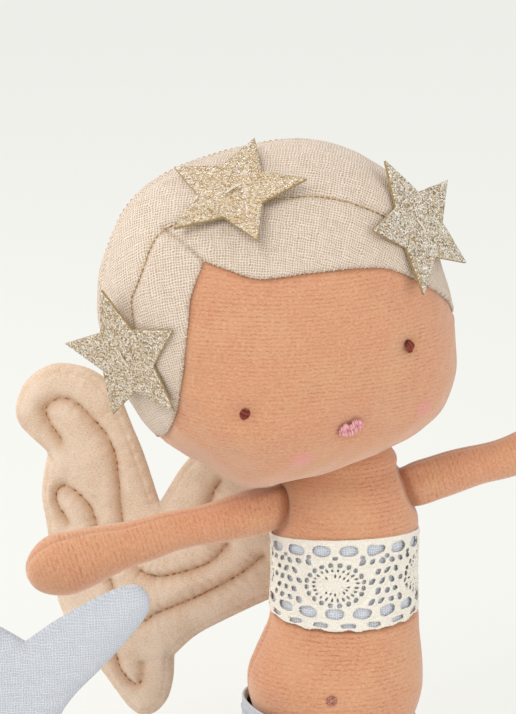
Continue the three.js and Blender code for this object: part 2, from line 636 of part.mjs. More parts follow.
// The upright root seam lies against the back of the band, clear of it when the wing swings to its flattest.
function makeWing(side) {
  const left = side === 'left';
  const outline = WING_LOBES.flat();
  const wing = makePadded(
    `${side}_wing`, outline, WING_MIDDLE, WING_HALF_THICKNESS, WING_EDGE, left ? 1 : -1, WING_VELOUR);
  const bandDepth = CHEST_DEPTH / 2 + 2 * GAP + BACKING + LACE;
  const across = (left ? -1 : 1) * (WING_ROOT_SPREAD / 2);
  const clearance = WING_EDGE * Math.cos(radians(left ? LEFT_WING_FLATTEST : RIGHT_WING_FLATTEST));
  wing.position.set(across, bandDepth + WING_SEAT_GAP + clearance, WING_ROOT_HEIGHT);
  wing.rotation.z = left ? Math.PI - radians(LEFT_WING_SWEEP) : radians(RIGHT_WING_SWEEP);
  return wing;
}

// Tail

const tailJoint = vector(TAIL_JOINT);
const finRoot = vector(FIN_ROOT);

// The full round seat under the hips: level rings that swell from a flat base, then close to the rim.
function seatForm(inset, rise) {
  const bottom = inset - FLOOR_CUT;
  const rings = [];
  const level = (height, width, depth) => rings.push(
    torsoRing(height, width / 2 - inset, depth / 2 - inset, TAIL_SIDES));
  for (let i = 0; i <= SEAT_STEPS; i += 1) {
    const angle = (Math.PI / 2) * (i / SEAT_STEPS);
    const height = THREE.MathUtils.lerp(SEAT_FULL_HEIGHT, bottom, Math.cos(angle));
    const width = THREE.MathUtils.lerp(SEAT_BASE_WIDTH, SEAT_WIDTH, Math.sin(angle));
    level(height, width, THREE.MathUtils.lerp(SEAT_BASE_DEPTH, SEAT_DEPTH, Math.sin(angle)));
  }
  level(SEAT_RIM_HEIGHT + rise, SEAT_RIM_WIDTH, SEAT_RIM_DEPTH);
  return loft(rings, new THREE.Vector3(0, 0, bottom), new THREE.Vector3(0, 0, SEAT_RIM_HEIGHT + rise));
}

// The first stretch of the tail, from inside the seat to the joint or past it.
function seatTube(inset, overrun) {
  const start = new THREE.Vector3(0, 0, TAIL_JOINT[2]);
  const along = tailJoint.clone().sub(start).normalize();
  const end = tailJoint.clone().addScaledVector(along, -TAIL_SOCKET_WRAP + overrun);
  const side = new THREE.Vector3(-along.y, along.x, 0);
  const up = new THREE.Vector3(0, 0, 1);
  const ring = (at) => ellipse(at, side, up, TAIL_RADIUS - inset, TAIL_RADIUS - inset, TAIL_SIDES);
  return loft([ring(start), ring(end)], start, end);
}

// The curled end: a ball root about the joint, then a tube that narrows to a flat tip at the fin.
function tailEndForm(inset, sides, overrun) {
  const tip = finRoot.clone();
  tip.z -= FIN_ROOT_GAP;
  const line = new THREE.CatmullRomCurve3([tailJoint, ...TAIL_CURL.map(vector), tip]);
  const along = line.getTangent(0);
  const frame = (at, direction, halfWidth, halfHeight) => {
    const side = AXIS_Y.clone().addScaledVector(direction, -AXIS_Y.dot(direction)).normalize();
    return ellipse(at, direction.clone().cross(side), side, halfWidth - inset, halfHeight - inset, sides);
  };
  const radius = TAIL_RADIUS - inset;
  const rings = [0.28, 0.58, 0.84].map((share) => {
    const back = radius * Math.cos((share * Math.PI) / 2);
    const reach = radius * Math.sin((share * Math.PI) / 2) + inset;
    return frame(tailJoint.clone().addScaledVector(along, -back), along, reach, reach);
  });
  for (let i = 0; i <= TAIL_STEPS; i += 1) {
    const share = i / TAIL_STEPS;
    const ease = THREE.MathUtils.smoothstep(share, 0, 1);
    const halfWidth = THREE.MathUtils.lerp(TAIL_RADIUS, TAIL_TIP_WIDTH / 2, ease);
    const halfHeight = THREE.MathUtils.lerp(TAIL_RADIUS, TAIL_TIP_THICKNESS / 2, ease);
    rings.push(frame(line.getPoint(share), line.getTangent(share), halfWidth, halfHeight));
  }
  const end = tip.clone().addScaledVector(line.getTangent(1), overrun);
  if (overrun !== 0) rings.push(frame(end, line.getTangent(1), TAIL_TIP_WIDTH / 2, TAIL_TIP_THICKNESS / 2));
  return loft(rings, tailJoint.clone().addScaledVector(along, -radius), end);
}

function makeTail() {
  const group = new THREE.Group();
  const reach = 4 * SEAT_WIDTH;
  const floor = solid(new THREE.BoxGeometry(2 * reach, 2 * reach, reach).translate(0, 0, -reach / 2));
  const hipRadii = [hipRadius, HIP_DEPTH / 2, hipRadius].map((radius) => radius + GAP);
  const hips = solid(socketBall([0, 0, HIP_HEIGHT], hipRadii, HIP_SOCKET_STEPS));
  const socket = solid(socketBall(TAIL_JOINT, Array(3).fill(TAIL_RADIUS + GAP), TAIL_SOCKET_STEPS));
  const seat = (inset, rise, overrun) => solid(seatForm(inset, rise)).add(solid(seatTube(inset, overrun)));
  const cover = seat(0, 0, 0).subtract(seat(LINEN, 1, 1)).subtract(hips).subtract(socket).subtract(floor);
  piece(group, 'tail_seat_cover', geometryOf(cover), TAIL_LINEN);
  const filling = seat(LINEN + GAP, -LINEN, -LINEN).subtract(hips).subtract(socket);
  piece(group, 'tail_seat_filling', geometryOf(filling), STUFFING);
  const hollow = solid(tailEndForm(LINEN, TAIL_SIDES, 1));
  const end = solid(tailEndForm(0, TAIL_SIDES, 0)).subtract(hollow).subtract(floor);
  piece(group, 'tail_end_cover', geometryOf(end), TAIL_LINEN);
  piece(group, 'tail_end_filling', tailEndForm(LINEN + GAP, TAIL_SIDES, -LINEN), STUFFING);
  const mirrored = FIN_LOBE.map(([x, z]) => [-x, z]).reverse();
  const fin = makePadded(
    'fin', [...FIN_LOBE, FIN_NOTCH, ...mirrored], FIN_MIDDLE, FIN_HALF_THICKNESS, FIN_EDGE, -1, TAIL_LINEN);
  fin.position.copy(finRoot);
  group.add(fin);
  return group;
}

const mermaid = new THREE.Group();
mermaid.add(makeTail());
mermaid.add(makeTorso());
mermaid.add(makeArm('left', LEFT_ARM_RISE, 0));
mermaid.add(makeArm('right', RIGHT_ARM_RISE, RIGHT_ARM_BEND));
mermaid.add(makeWing('left'));
mermaid.add(makeWing('right'));
mermaid.add(makeHead());

export default mermaid;
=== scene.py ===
"""The looks of a stuffed mermaid doll that sits on its curled tail, +Z up, facing -Y.

Left and right are the viewer's. Shapes are worked out in millimetres and degrees, and stored in metres.
"""
import json
import math

import bpy
import numpy as np
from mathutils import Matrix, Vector


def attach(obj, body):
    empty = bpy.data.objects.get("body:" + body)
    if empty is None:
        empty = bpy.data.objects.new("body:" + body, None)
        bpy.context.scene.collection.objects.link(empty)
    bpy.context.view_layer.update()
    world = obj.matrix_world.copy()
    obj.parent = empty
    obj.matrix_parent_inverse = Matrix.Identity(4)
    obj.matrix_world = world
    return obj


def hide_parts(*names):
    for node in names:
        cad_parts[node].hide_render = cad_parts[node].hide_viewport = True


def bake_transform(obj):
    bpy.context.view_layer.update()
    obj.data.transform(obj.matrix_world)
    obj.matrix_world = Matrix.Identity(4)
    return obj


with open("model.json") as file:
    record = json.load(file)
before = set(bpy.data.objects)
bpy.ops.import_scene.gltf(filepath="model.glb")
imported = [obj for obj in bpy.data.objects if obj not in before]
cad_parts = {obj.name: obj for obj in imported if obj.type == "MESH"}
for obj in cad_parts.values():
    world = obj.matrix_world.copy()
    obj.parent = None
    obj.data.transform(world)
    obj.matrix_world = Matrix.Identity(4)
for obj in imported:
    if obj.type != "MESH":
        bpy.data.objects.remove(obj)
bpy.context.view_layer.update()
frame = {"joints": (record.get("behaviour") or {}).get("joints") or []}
MM = 0.001
PIVOT = {joint["name"]: np.array(joint["pos_m"]) / MM for joint in frame["joints"]}
UP = np.array([0, 0, 1.0])

# Camera: the photograph's view, with the height of the picture as seen at the target
VIEW_AZIMUTH = -10
VIEW_ELEVATION = 15
VIEW_TARGET = (-24.85, 13.88, 163.93)
VIEW_DISTANCE = 1000
VIEW_HEIGHT = 228.5
SENSOR = 36

# Lights: place and target in metres, width, power and tint; then the world, the backdrop and the floor
LIGHTS = {
    "key": ((-0.75, -0.75, 1.15), (-0.02, 0, 0.13), 0.8, 7.6, (1.0, 0.985, 0.96)),
    "fill": ((0.9, -0.9, 0.5), (0, 0, 0.12), 1.0, 3.8, (0.97, 0.985, 1.0)),
    "rim": ((-0.7, 0.55, 0.75), (-0.05, 0, 0.16), 0.6, 4.2, (1.0, 0.99, 0.97)),
}
WORLD_LIGHT = 0.7
WORLD_TINT = (1.0, 0.995, 0.985, 1)
BACKDROP = (0.915, 0.915, 0.875, 1)
FLOOR_REACH = 6000
FLOOR_SEEN_AS_BACKDROP = 0.74

# Head: a rounded-square ball, tilted about the neck and turned a little, its side seam behind its widest part
HEAD_HALF = np.array([52.5, 41.0, 53.5])
HEAD_SQUARENESS = 2.6
HEAD_FULLNESS = 2.2
HEAD_TILT = -18.5
HEAD_TURN = 6
HEAD_MIDDLE = np.array([-2.8, -4.0, 56.0])
SIDE_SEAM_BACK = 3
NECK = PIVOT["head_tilt"]
HEAD_COLUMNS = 340
FACE_ROWS = 72
HAIR_ROWS = 56
# How far the stuffed head stands out from the even ball behind the face, by angle from +X seen from the front
HEAD_SWELL = [(-180, 1.5), (-158, -1.8), (-140, -5.4), (-122, -3.0), (-105, -3.4), (-80, -2.0), (-60, 0.8),
              (-46, 2.2), (-30, 0.8), (0, -1.0), (26, -1.8), (50, -1.0), (78, 0.6), (100, 2.8), (118, 3.6),
              (138, 2.0), (155, 2.3), (180, 1.5)]

# Hair, seen from the front: the hairline's parting, fringe and temple, down to the side seams, and a dart;
# then how far it stands off the face, the cloth turned in at a seam, and the pitch of its edge's stitches
PARTING = (-23, 35)
FRINGE = [(-18, 31), (-9.8, 25.2), (5, 21.4), (22, 16), (33, 9), (47, -8.5), (52.5, -22.5)]
TEMPLE = [(-30.3, 26.6), (-34, 19), (-40.5, 3.5), (-45.5, -8.5), (-52.5, -22.5)]
DART = [(-23.4, 35.6), (-25.5, 40), (-28.7, 45)]
HAIR_PROUD = 0.7
TURNING = 2.5
WHIP_PITCH = 1.5

# Gold topstitching: the front row seen from the front, and how far back the back row lies
TOPSTITCH = [(-48.5, 14), (-45.6, 26.3), (-42.4, 31.5), (-34.5, 40.7), (-27.3, 44.8), (-12, 46.2),
             (9, 42.3), (19.8, 38.2), (32.7, 27.6), (41, 15)]
TOPSTITCH_PITCH = 1.8
BACK_ROW_Y = 13

# Face, seen from the front: each eye's place, lean, width and height; the mouth; the blush; and the depth and
# width to which the stitches draw the face in, with the strength and width of the painted shade about each
# eye
EYES = {"left_eye": (-27.6, -13, 52, 3.9, 4.4), "right_eye": (28.1, -13.4, 8, 3.0, 4.8)}
MOUTH = (2.2, -30.6)
MOUTH_SIZE = (8, 5.4)
EYE_THREADS = 9
MOUTH_THREADS = 28
BLUSH = [(-14.9, -35.7), (28, -36.5)]
BLUSH_RADIUS = 5.5
EYE_DIMPLE = (1.1, 4.5)
EYE_SHADE = (0.35, 3.2)
MOUTH_DIMPLE = (0.4, 6)
CHIN_PINCH = (14, -49)
CHIN_DIMPLE = (1.2, 3.0)

# Stars: how gold the glitter is, which is also painted shade, most on the star that faces the light; where
# each faces, round and up from the face; its turn; its place beside the point where it touches the head; the
# turn of its stitch; and how far each of its five tips is bent out
STAR_RADIUS = 22.5
STAR_NOTCH = 11
STAR_THICKNESS = 1.3
STAR_STITCH = 7
STAR_LIFT = HAIR_PROUD + 0.55
STARS = {
    "star_left": dict(gold=0.4, facing=(-53, 3), turn=-1, aside=(-10.8, 3), stitch=-20,
                      curl=(0.4, -1.2, 0.5, -0.8, 0.9)),
    "star_top": dict(gold=0.75, facing=(-5, 58), turn=36, aside=(2, -0.3), stitch=75,
                     curl=(-0.9, 0.6, -0.6, 0.8, -0.5)),
    "star_right": dict(gold=0.12, facing=(38, 12), turn=2, aside=(7.5, -1.7), stitch=-15,
                       curl=(-0.8, 0.5, -0.9, 0.4, 0.6)),
}

# Torso: the hip ball's height, half width and half depth; and rows of the body up to the neck, each a height,
# a half width, a half depth and a place aside. The rows take over from the ball at the second one
HIP_HEIGHT = 59
HIP_WIDE = 28.9
HIP_DEEP = 24.7
BODY = [(50, 28.0, 23.6, -1.7), (56, 28.8, 24.6, -1.7), (62, 28.6, 24.5, -1.7), (68, 27.2, 23.2, -1.0),
        (74, 25.5, 21.6, -0.2), (81, 23.6, 20.0, 0.8), (96, 22.9, 19.5, 1.0), (110, 23.3, 19.5, 1.0),
        (118, 23.8, 19.2, 0.9), (125.4, 21.8, 17.8, 0.6), (131, 17.8, 14.8, 0.2)]
HIP_TOP, _, _, HIP_ASIDE = BODY[1]
NECK_TOP, NECK_WIDE, NECK_DEEP, NECK_ASIDE = BODY[-1]
NECK_CAP = 11
BODY_RADIUS = 24
NAVEL = (-7.8, 60)
NAVEL_THREADS = 11

# Band: heights of its two edges, how far each is shifted at the sides and at the chest, and the angle at
# which it starts; how far it presses the body in and makes it bulge; and how far its two cloths stand off
BAND = (82.5, 109.5)
BAND_AT_SIDES = (1.9, -0.8)
BAND_AT_CHEST = (0.0, 1.8)
BAND_FRONT = math.radians(-107)
BAND_PRESS = 0.9
BAND_BULGE = 0.7
LINING_OFFSET = -0.2
LACE_OFFSET = 0.8
LACE_THREAD = 0.5

# Lace, in repeats about a rosette at 0, 0: rows of holes, each with its shift in steps, height, half sizes
# and roundness, from 1 for a rhomb to 2 for an oval; rings of the rosette, each with its share of the whole,
# number of holes and their half sizes; and a lattice outside the rosette
LACE_REPEATS = 4
LACE_OVALS = 4
LACE_BELOW = 14.8
LACE_COLUMNS = 520
LACE_GRID_ROWS = 96
SCALLOP_EDGE = -14.0
SCALLOP_RISE = 0.5
LACE_ROWS = [(0.5, 10.7, 3.0, 1.65, 2.4), (0, -9.0, 3.0, 1.65, 2.4), (0.5, -12.7, 2.7, 0.75, 2.4),
             (0, 8.5, 0.9, 0.6, 2)]
ROSETTE = (9.4, 6.4)
ROSETTE_RINGS = [(1.0, 20, 0.75, 0.8), (0.75, 24, 0.95, 0.32), (0.47, 18, 0.8, 0.28), (0.22, 8, 0.4, 0.24)]
ROSETTE_CLEAR = (11.9, 8.3)
LATTICE_COLUMNS = 10
LATTICE_STEP = 3.15
LATTICE_RISE = 0.7
LATTICE_HOLE = (1.25, 0.85)
LATTICE_LEAN = 32
LATTICE_ROUNDNESS = 1.6

# Arms: radii of the tube by the way from the shoulder, up to a round hand; each arm's turn about Y, the angle
# by which it bends up past a place on it, and where its seam runs round the tube, in degrees
ARM_LENGTH = 80.5
ARM_RADIUS = 7.2
ARM_TUBE = [(0, 7.2), (12, 6.9), (25, 6.5), (36, 6.5), (47, 7.3), (57, 8.9), (67.5, 10)]
HAND_LENGTH = 26
ARMS = {"left_arm": dict(turn=180 + 10.6, bend=7.5, seam=250), "right_arm": dict(turn=14, bend=17, seam=90)}
ARM_BEND_START = 25
ARM_COLUMNS = 88

# Wings: the angle of each from +X; the lobes of the edge and the stitched channels, out along the wing and up
# from the root seam; and the half thickness in the middle and at the edge
WING_SWEEP = {"left_wing": 180 - 25, "right_wing": 71}
WING_MIDDLE = (58, -11)
WING_LOBES = [
    [(0, 18), (0, 0), (0, -21)],
    [(0, -21), (15, -28), (31, -37), (42, -44), (50, -52)],
    [(50, -52), (50.5, -61), (53, -69), (58.5, -74), (65, -72.5), (75, -60), (88, -43)],
    [(88, -43), (92, -30), (94, -10), (95.6, 0), (95, 8), (93.2, 16.4)],
    [(93.2, 16.4), (102.6, 24.8), (104.2, 32), (99.7, 41.4), (90, 47), (78, 45.7), (69.3, 38.7), (63.6, 26.3),
     (59.8, 17), (54.7, 1.3)],
    [(54.7, 1.3), (44.6, 17.4), (33, 27.4), (22, 29), (12, 26), (0, 18)],
]
WING_CHANNELS = [
    [(87.8, 21), (90.2, 24.7), (92.9, 29), (92.9, 32.8), (88.6, 35.6), (83.7, 35.2), (78.2, 30.8),
     (72.3, 24.3), (69.2, 17.2), (68.3, 10), (67.4, -2.2), (65.6, -13), (62.5, -21), (56, -23.8),
     (47.6, -22), (36.8, -17.2), (30.5, -10.3)],
    [(86.1, -7), (89.6, -1.6), (90.2, 2.2), (88.1, 5.2), (84.5, 4.5), (78.6, -0.7), (75.9, -7.9), (73, -22),
     (68, -34), (60.4, -39.9), (55.4, -36.9), (44.2, -31.3), (36.5, -27), (26.4, -20.5), (18.1, -13.1)],
    [(69.8, -53), (67.7, -58.9), (63.1, -63.2), (61, -61.5), (60.5, -55.3)],
    [(36.7, 3.5), (35.2, 7.6), (32.9, 11.8)],
]
WING_HALF = 4.3
WING_EDGE = 0.5
WING_SOFT = (8.0, 5.0)
EDGE_SEAM = 2.2
CHANNEL_PITCH = 2.2
WING_SEAM_PITCH = 2.6

# Tail: the hem at the hips, the fan of sections that turns it to the side, the curled path to the fin, and
# the folds, each with its way along the tail and its spread
TAIL_JOINT = PIVOT["tail_bend"]
TAIL_HEM = 48
HEM_LEAN = 0.17
HEM_ASIDE = -3.4
HEM_HALF = (28.9, 25.2)
HEM_FOLD = 1.1
HEM_FACING_DROP = 1.9
HEM_CLEAR = 0.95
HEM_ALONG = [-4.5, -2.5, -1.2, -0.5]
HEM_STITCH_DROP = 6
FAN_REACH = 46
FAN_SQUARENESS = 5
SEAT_DEEP = 4
SEAT_HALF_DEPTH = 28.5
TAIL_RADIUS = 18.8
TAIL_SQUARENESS = 2.2
TAIL_COLUMNS = 150
TAIL_PATH = [(-76, -27, 17), (-97, -36, 24), (-106, -41, 40)]
TAIL_NARROW = 7.0
TAIL_TIP_HALF = (8.5, 2.0)
TAIL_FOLDS = [(34, 13), (108, 12)]
FOLD_PITCH = 6.5
FOLD_HEIGHT = 0.75

# Fin: its root and one lobe, seen from the front, and its half thickness in the middle and at the edge
FIN_ROOT = [(-8, 0), (-4, -0.4), (0, -0.5), (4, -0.4), (8, 0)]
FIN_LOBE = [(8, 0), (10.3, 7), (15, 13.4), (22.5, 20.7), (28.5, 27), (35, 34.5), (38, 40), (36.8, 45),
            (32, 46.8), (23.4, 44), (15.4, 40), (8, 36), (0, 30.6)]
FIN_MIDDLE = (0, 13)
FIN_HALF = 5.2
FIN_EDGE = 0.7
FIN_SOFT = (9.5, 6.0)

# Cloth and thread: pitches, and the velour's colours from the lines between its ribs to its light pile
RIB_PITCH = 1.5
LINEN_PITCH = 0.8
VELOUR = ("ab5f38", "c58662", "d29774", "dfad8f")
VELOUR_FADED = "dcb187"
# painted shade: the velour's colour in folds and along seams, where shade falls
VELOUR_PAINTED_SHADE = "8f4f30"
BLUSH_COLOUR = "e58e93"
STITCH_SIDES = 6
STITCH_RINGS = np.array([0.06, 0.28, 0.5, 0.72, 0.94])


# Small numeric helpers

def smooth(x, low, high):
    """Rises from 0 to 1 between low and high, level at both ends."""
    t = np.clip((x - low) / (high - low), 0, 1)
    return t * t * (3 - 2 * t)


def bell(x, width):
    """1 at 0, and less on both sides: the exponential of minus the square of x over the width."""
    return np.exp(-(x / width) ** 2)


def mix(a, b, t):
    """From a at t = 0 straight to b at t = 1."""
    return a + (b - a) * t


def signed_power(x, power):
    """A power of the size of x, with the sign of x."""
    return np.sign(x) * np.abs(x) ** power


def unit(v):
    """Vectors divided by their length."""
    return v / np.maximum(np.linalg.norm(v, axis=-1, keepdims=True), 1e-9)


def cos_sin(degrees):
    """Cosine and sine of an angle in degrees."""
    return math.cos(math.radians(degrees)), math.sin(math.radians(degrees))


def turned(axis, degrees):
    """The matrix that turns a point about X, Y or Z."""
    c, s = cos_sin(degrees)
    i, j = {"x": (1, 2), "y": (2, 0), "z": (0, 1)}[axis]
    m = np.eye(3)
    m[i, i], m[j, j], m[i, j], m[j, i] = c, c, -s, s
    return m


def spline(points, per_span=12):
    """A smooth line through the points: cubics whose slope at a point is half the chord past it."""
    p = np.array(points, float)
    p = np.vstack([2 * p[0] - p[1], p, 2 * p[-1] - p[-2]])
    t = np.linspace(0, 1, per_span, endpoint=False)[:, None]
    a, b, c, d = (p[i:len(p) - 3 + i, None] for i in range(4))
    line = b + 0.5 * ((c - a) * t + (2 * a - 5 * b + 4 * c - d) * t ** 2 + (3 * b - 3 * c + d - a) * t ** 3)
    return np.vstack([line.reshape(-1, p.shape[1]), p[-2]])


def lengths(line):
    """How far along a line each of its points lies: the running sum of the steps."""
    return np.concatenate([[0], np.cumsum(np.linalg.norm(np.diff(line, axis=0), axis=1))])


def places_along(line, stations):
    """Points of a line at distances along it."""
    along = lengths(line)
    return np.stack([np.interp(stations, along, column) for column in line.T], -1)


def evenly(line, pitch):
    """The line sampled again at equal steps of about the pitch."""
    whole = lengths(line)[-1]
    return places_along(line, np.linspace(0, whole, max(2, round(whole / pitch) + 1)))


def off_line(points, line):
    """Distance from each point to a line, and how far along the line the nearest spot lies."""
    best = np.full(points.shape[:-1], 1e9)
    where = np.zeros(points.shape[:-1])
    for start, end, gone in zip(line[:-1], line[1:], lengths(line)):
        step = end - start
        size = max(np.linalg.norm(step), 1e-9)
        t = np.clip(((points - start) @ step) / size ** 2, 0, 1)
        gap = np.linalg.norm(points - start - t[..., None] * step, axis=-1)
        nearer = gap < best
        best[nearer] = gap[nearer]
        where[nearer] = (gone + t * size)[nearer]
    return best, where


def lumps(points, size, seed):
    """Uneven swelling of stuffing, about -1 to 1: six sine waves of about that length in fixed directions."""
    rng = np.random.default_rng(seed)
    total = np.zeros(points.shape[:-1])
    for _ in range(6):
        wave = unit(rng.normal(size=points.shape[-1])) / (size * rng.uniform(0.7, 1.4))
        total += np.sin(2 * np.pi * (points @ wave) + rng.uniform(0, 2 * np.pi))
    return total / 3


# Meshes

def build(name, points, faces, material, corners=None, inside=None):
    """One object from points in millimetres and faces; corners holds a UV place for each face corner.

    Faces are turned so that on the whole they look away from the inside point.
    """
    points = np.asarray(points, float).reshape(-1, 3)
    if inside is not None:
        quads = faces[0]
        a, b, c = points[quads[:, 0]], points[quads[:, 1]], points[quads[:, 2]]
        facing = np.einsum("ij,ij->i", np.cross(b - a, c - a), (a + c) / 2 - inside).sum()
        if facing < 0:
            faces = [f[:, ::-1] for f in faces]
            corners = None if corners is None else [c[:, ::-1] for c in corners]
    mesh = bpy.data.meshes.new(name)
    mesh.from_pydata((points * MM).tolist(), [], [face for part in faces for face in part.tolist()])
    mesh.polygons.foreach_set("use_smooth", np.ones(len(mesh.polygons), bool))
    if corners is not None:
        layer = mesh.uv_layers.new(name="cloth")
        flat = np.concatenate([c.reshape(-1, 2) for c in corners])
        layer.data.foreach_set("uv", flat.ravel())
    materials = material if isinstance(material, (list, tuple)) else [material]
    for each in materials:
        mesh.materials.append(each)
    piece = bpy.data.objects.new(name, mesh)
    bpy.context.scene.collection.objects.link(piece)
    return piece


def sheet_of(name, points, uv, material, inside, closed=False, first=None, last=None):
    """A grid of points (rows, columns, 3) with a UV place each; a closed grid has one UV column more.

    first and last are the points that close the grid before its first and after its last row.
    """
    rows, columns = points.shape[:2]
    place = np.arange(columns if closed else columns - 1)
    row, column = np.meshgrid(np.arange(rows - 1), place, indexing="ij")
    beside = (column + 1) % columns

    def square(a, b, width):
        """The four point numbers of each square between columns a and b of a grid of that width."""
        found = np.stack([row * width + a, row * width + b, (row + 1) * width + b, (row + 1) * width + a], -1)
        return found.reshape(-1, 4)

    flat_uv = uv.reshape(-1, 2)
    faces = [square(column, beside, columns)]
    corners = [flat_uv[square(column, column + 1, uv.shape[1])]]
    all_points = [points.reshape(-1, 3)]
    count = rows * columns
    for pole, at_row in ((first, 0), (last, rows - 1)):
        if pole is None:
            continue
        rim = np.stack([at_row * columns + place, at_row * columns + (place + 1) % columns], -1)
        rim_uv = np.stack([uv[at_row, place], uv[at_row, place + 1]], 1)
        tip = np.full((len(place), 1), count)
        tip_uv = np.repeat(uv[at_row].mean(0)[None, None], len(place), 0)
        order = [1, 0] if at_row == 0 else [0, 1]
        faces.append(np.hstack([rim[:, order], tip]))
        corners.append(np.concatenate([rim_uv[:, order], tip_uv], 1))
        all_points.append(np.reshape(pole, (1, 3)))
        count += 1
    return build(name, np.concatenate(all_points), faces, material, corners, inside)


def cloth_uv(across, along):
    """UV places of a grid: across for its columns and along for its rows, in millimetres."""
    return np.stack(np.broadcast_arrays(across, along), -1)


def closed_uv(uv):
    """UV places of a closed grid: the first column comes again after the last."""
    return np.concatenate([uv, uv[:, :1]], 1)


def stitches(name, starts, ends, lifts, radius, bow, material, seed):
    """Many short threads: each a tube from its start to its end that bows out along its lift.

    Its ends dip under the cloth. A point attribute, shade, gives each thread its own number from 0 to 1.
    """
    starts, ends, lifts = (np.asarray(a, float) for a in (starts, ends, lifts))
    count = len(starts)
    run = ends - starts
    along = unit(run)
    side = unit(np.cross(lifts, along))
    up = np.cross(along, side)
    angle = 2 * np.pi * np.arange(STITCH_SIDES) / STITCH_SIDES
    arch = np.sin(np.pi * STITCH_RINGS)
    middle = starts[:, None] + run[:, None] * STITCH_RINGS[None, :, None]
    middle = middle + up[:, None] * (bow * (2 * arch[None, :, None] - 1))
    thick = radius * (0.55 + 0.45 * arch)
    around = side[:, None, None] * np.cos(angle)[None, None, :, None]
    around = around + up[:, None, None] * np.sin(angle)[None, None, :, None]
    rings = middle[:, :, None] + around * thick[None, :, None, None]
    poles = np.stack([starts - up * 1.1 * bow, ends - up * 1.1 * bow], 1)
    each = len(STITCH_RINGS) * STITCH_SIDES
    points = np.concatenate([rings.reshape(count, each, 3), poles], 1)
    ring = np.arange(STITCH_SIDES)
    beside = (ring + 1) % STITCH_SIDES
    quads = [np.stack([k * STITCH_SIDES + ring, k * STITCH_SIDES + beside, (k + 1) * STITCH_SIDES + beside,
                       (k + 1) * STITCH_SIDES + ring], -1) for k in range(len(STITCH_RINGS) - 1)]
    quads = np.concatenate(quads)[:, ::-1]
    last = each - STITCH_SIDES
    caps = np.concatenate([np.stack([ring, beside, np.full(STITCH_SIDES, each)], -1),
                           np.stack([last + beside, last + ring, np.full(STITCH_SIDES, each + 1)], -1)])
    offset = (np.arange(count) * (each + 2))[:, None, None]
    faces = [(quads + offset).reshape(-1, 4), (caps[:, ::-1] + offset).reshape(-1, 3)]
    piece = build(name, points, faces, material)
    shade = np.random.default_rng(seed).uniform(0, 1, count).repeat(each + 2)
    piece.data.attributes.new("shade", "FLOAT", "POINT").data.foreach_set("value", shade.astype(np.float32))
    return piece


def mark(piece, values):
    """Gives a piece's points a number that darkens their colour: painted shade in folds and along seams."""
    painted_shade = np.zeros(len(piece.data.vertices), np.float32)
    painted_shade[:np.size(values)] = np.clip(np.ravel(values), 0, 1)
    piece.data.attributes.new("painted_shade", "FLOAT", "POINT").data.foreach_set("value", painted_shade)


def dashes(line, pitch, share):
    """Starts and ends of running stitches along a line of points, each a share of the pitch long."""
    begin = np.arange(0.3 * pitch, lengths(line)[-1] - pitch, pitch)
    return places_along(line, begin), places_along(line, begin + share * pitch)


def finish_piece(piece, body, slot, *nodes):
    """Rides on its body and stands for the solids. The slot is not used."""
    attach(piece, body)
    if nodes:
        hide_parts(*nodes)
    return piece


# Materials

def srgb(code):
    """A colour written as six hex digits, as linear red, green, blue and alpha."""
    parts = [int(code[i:i + 2], 16) / 255 for i in (0, 2, 4)]
    return (*[c / 12.92 if c <= 0.04045 else ((c + 0.055) / 1.055) ** 2.4 for c in parts], 1)


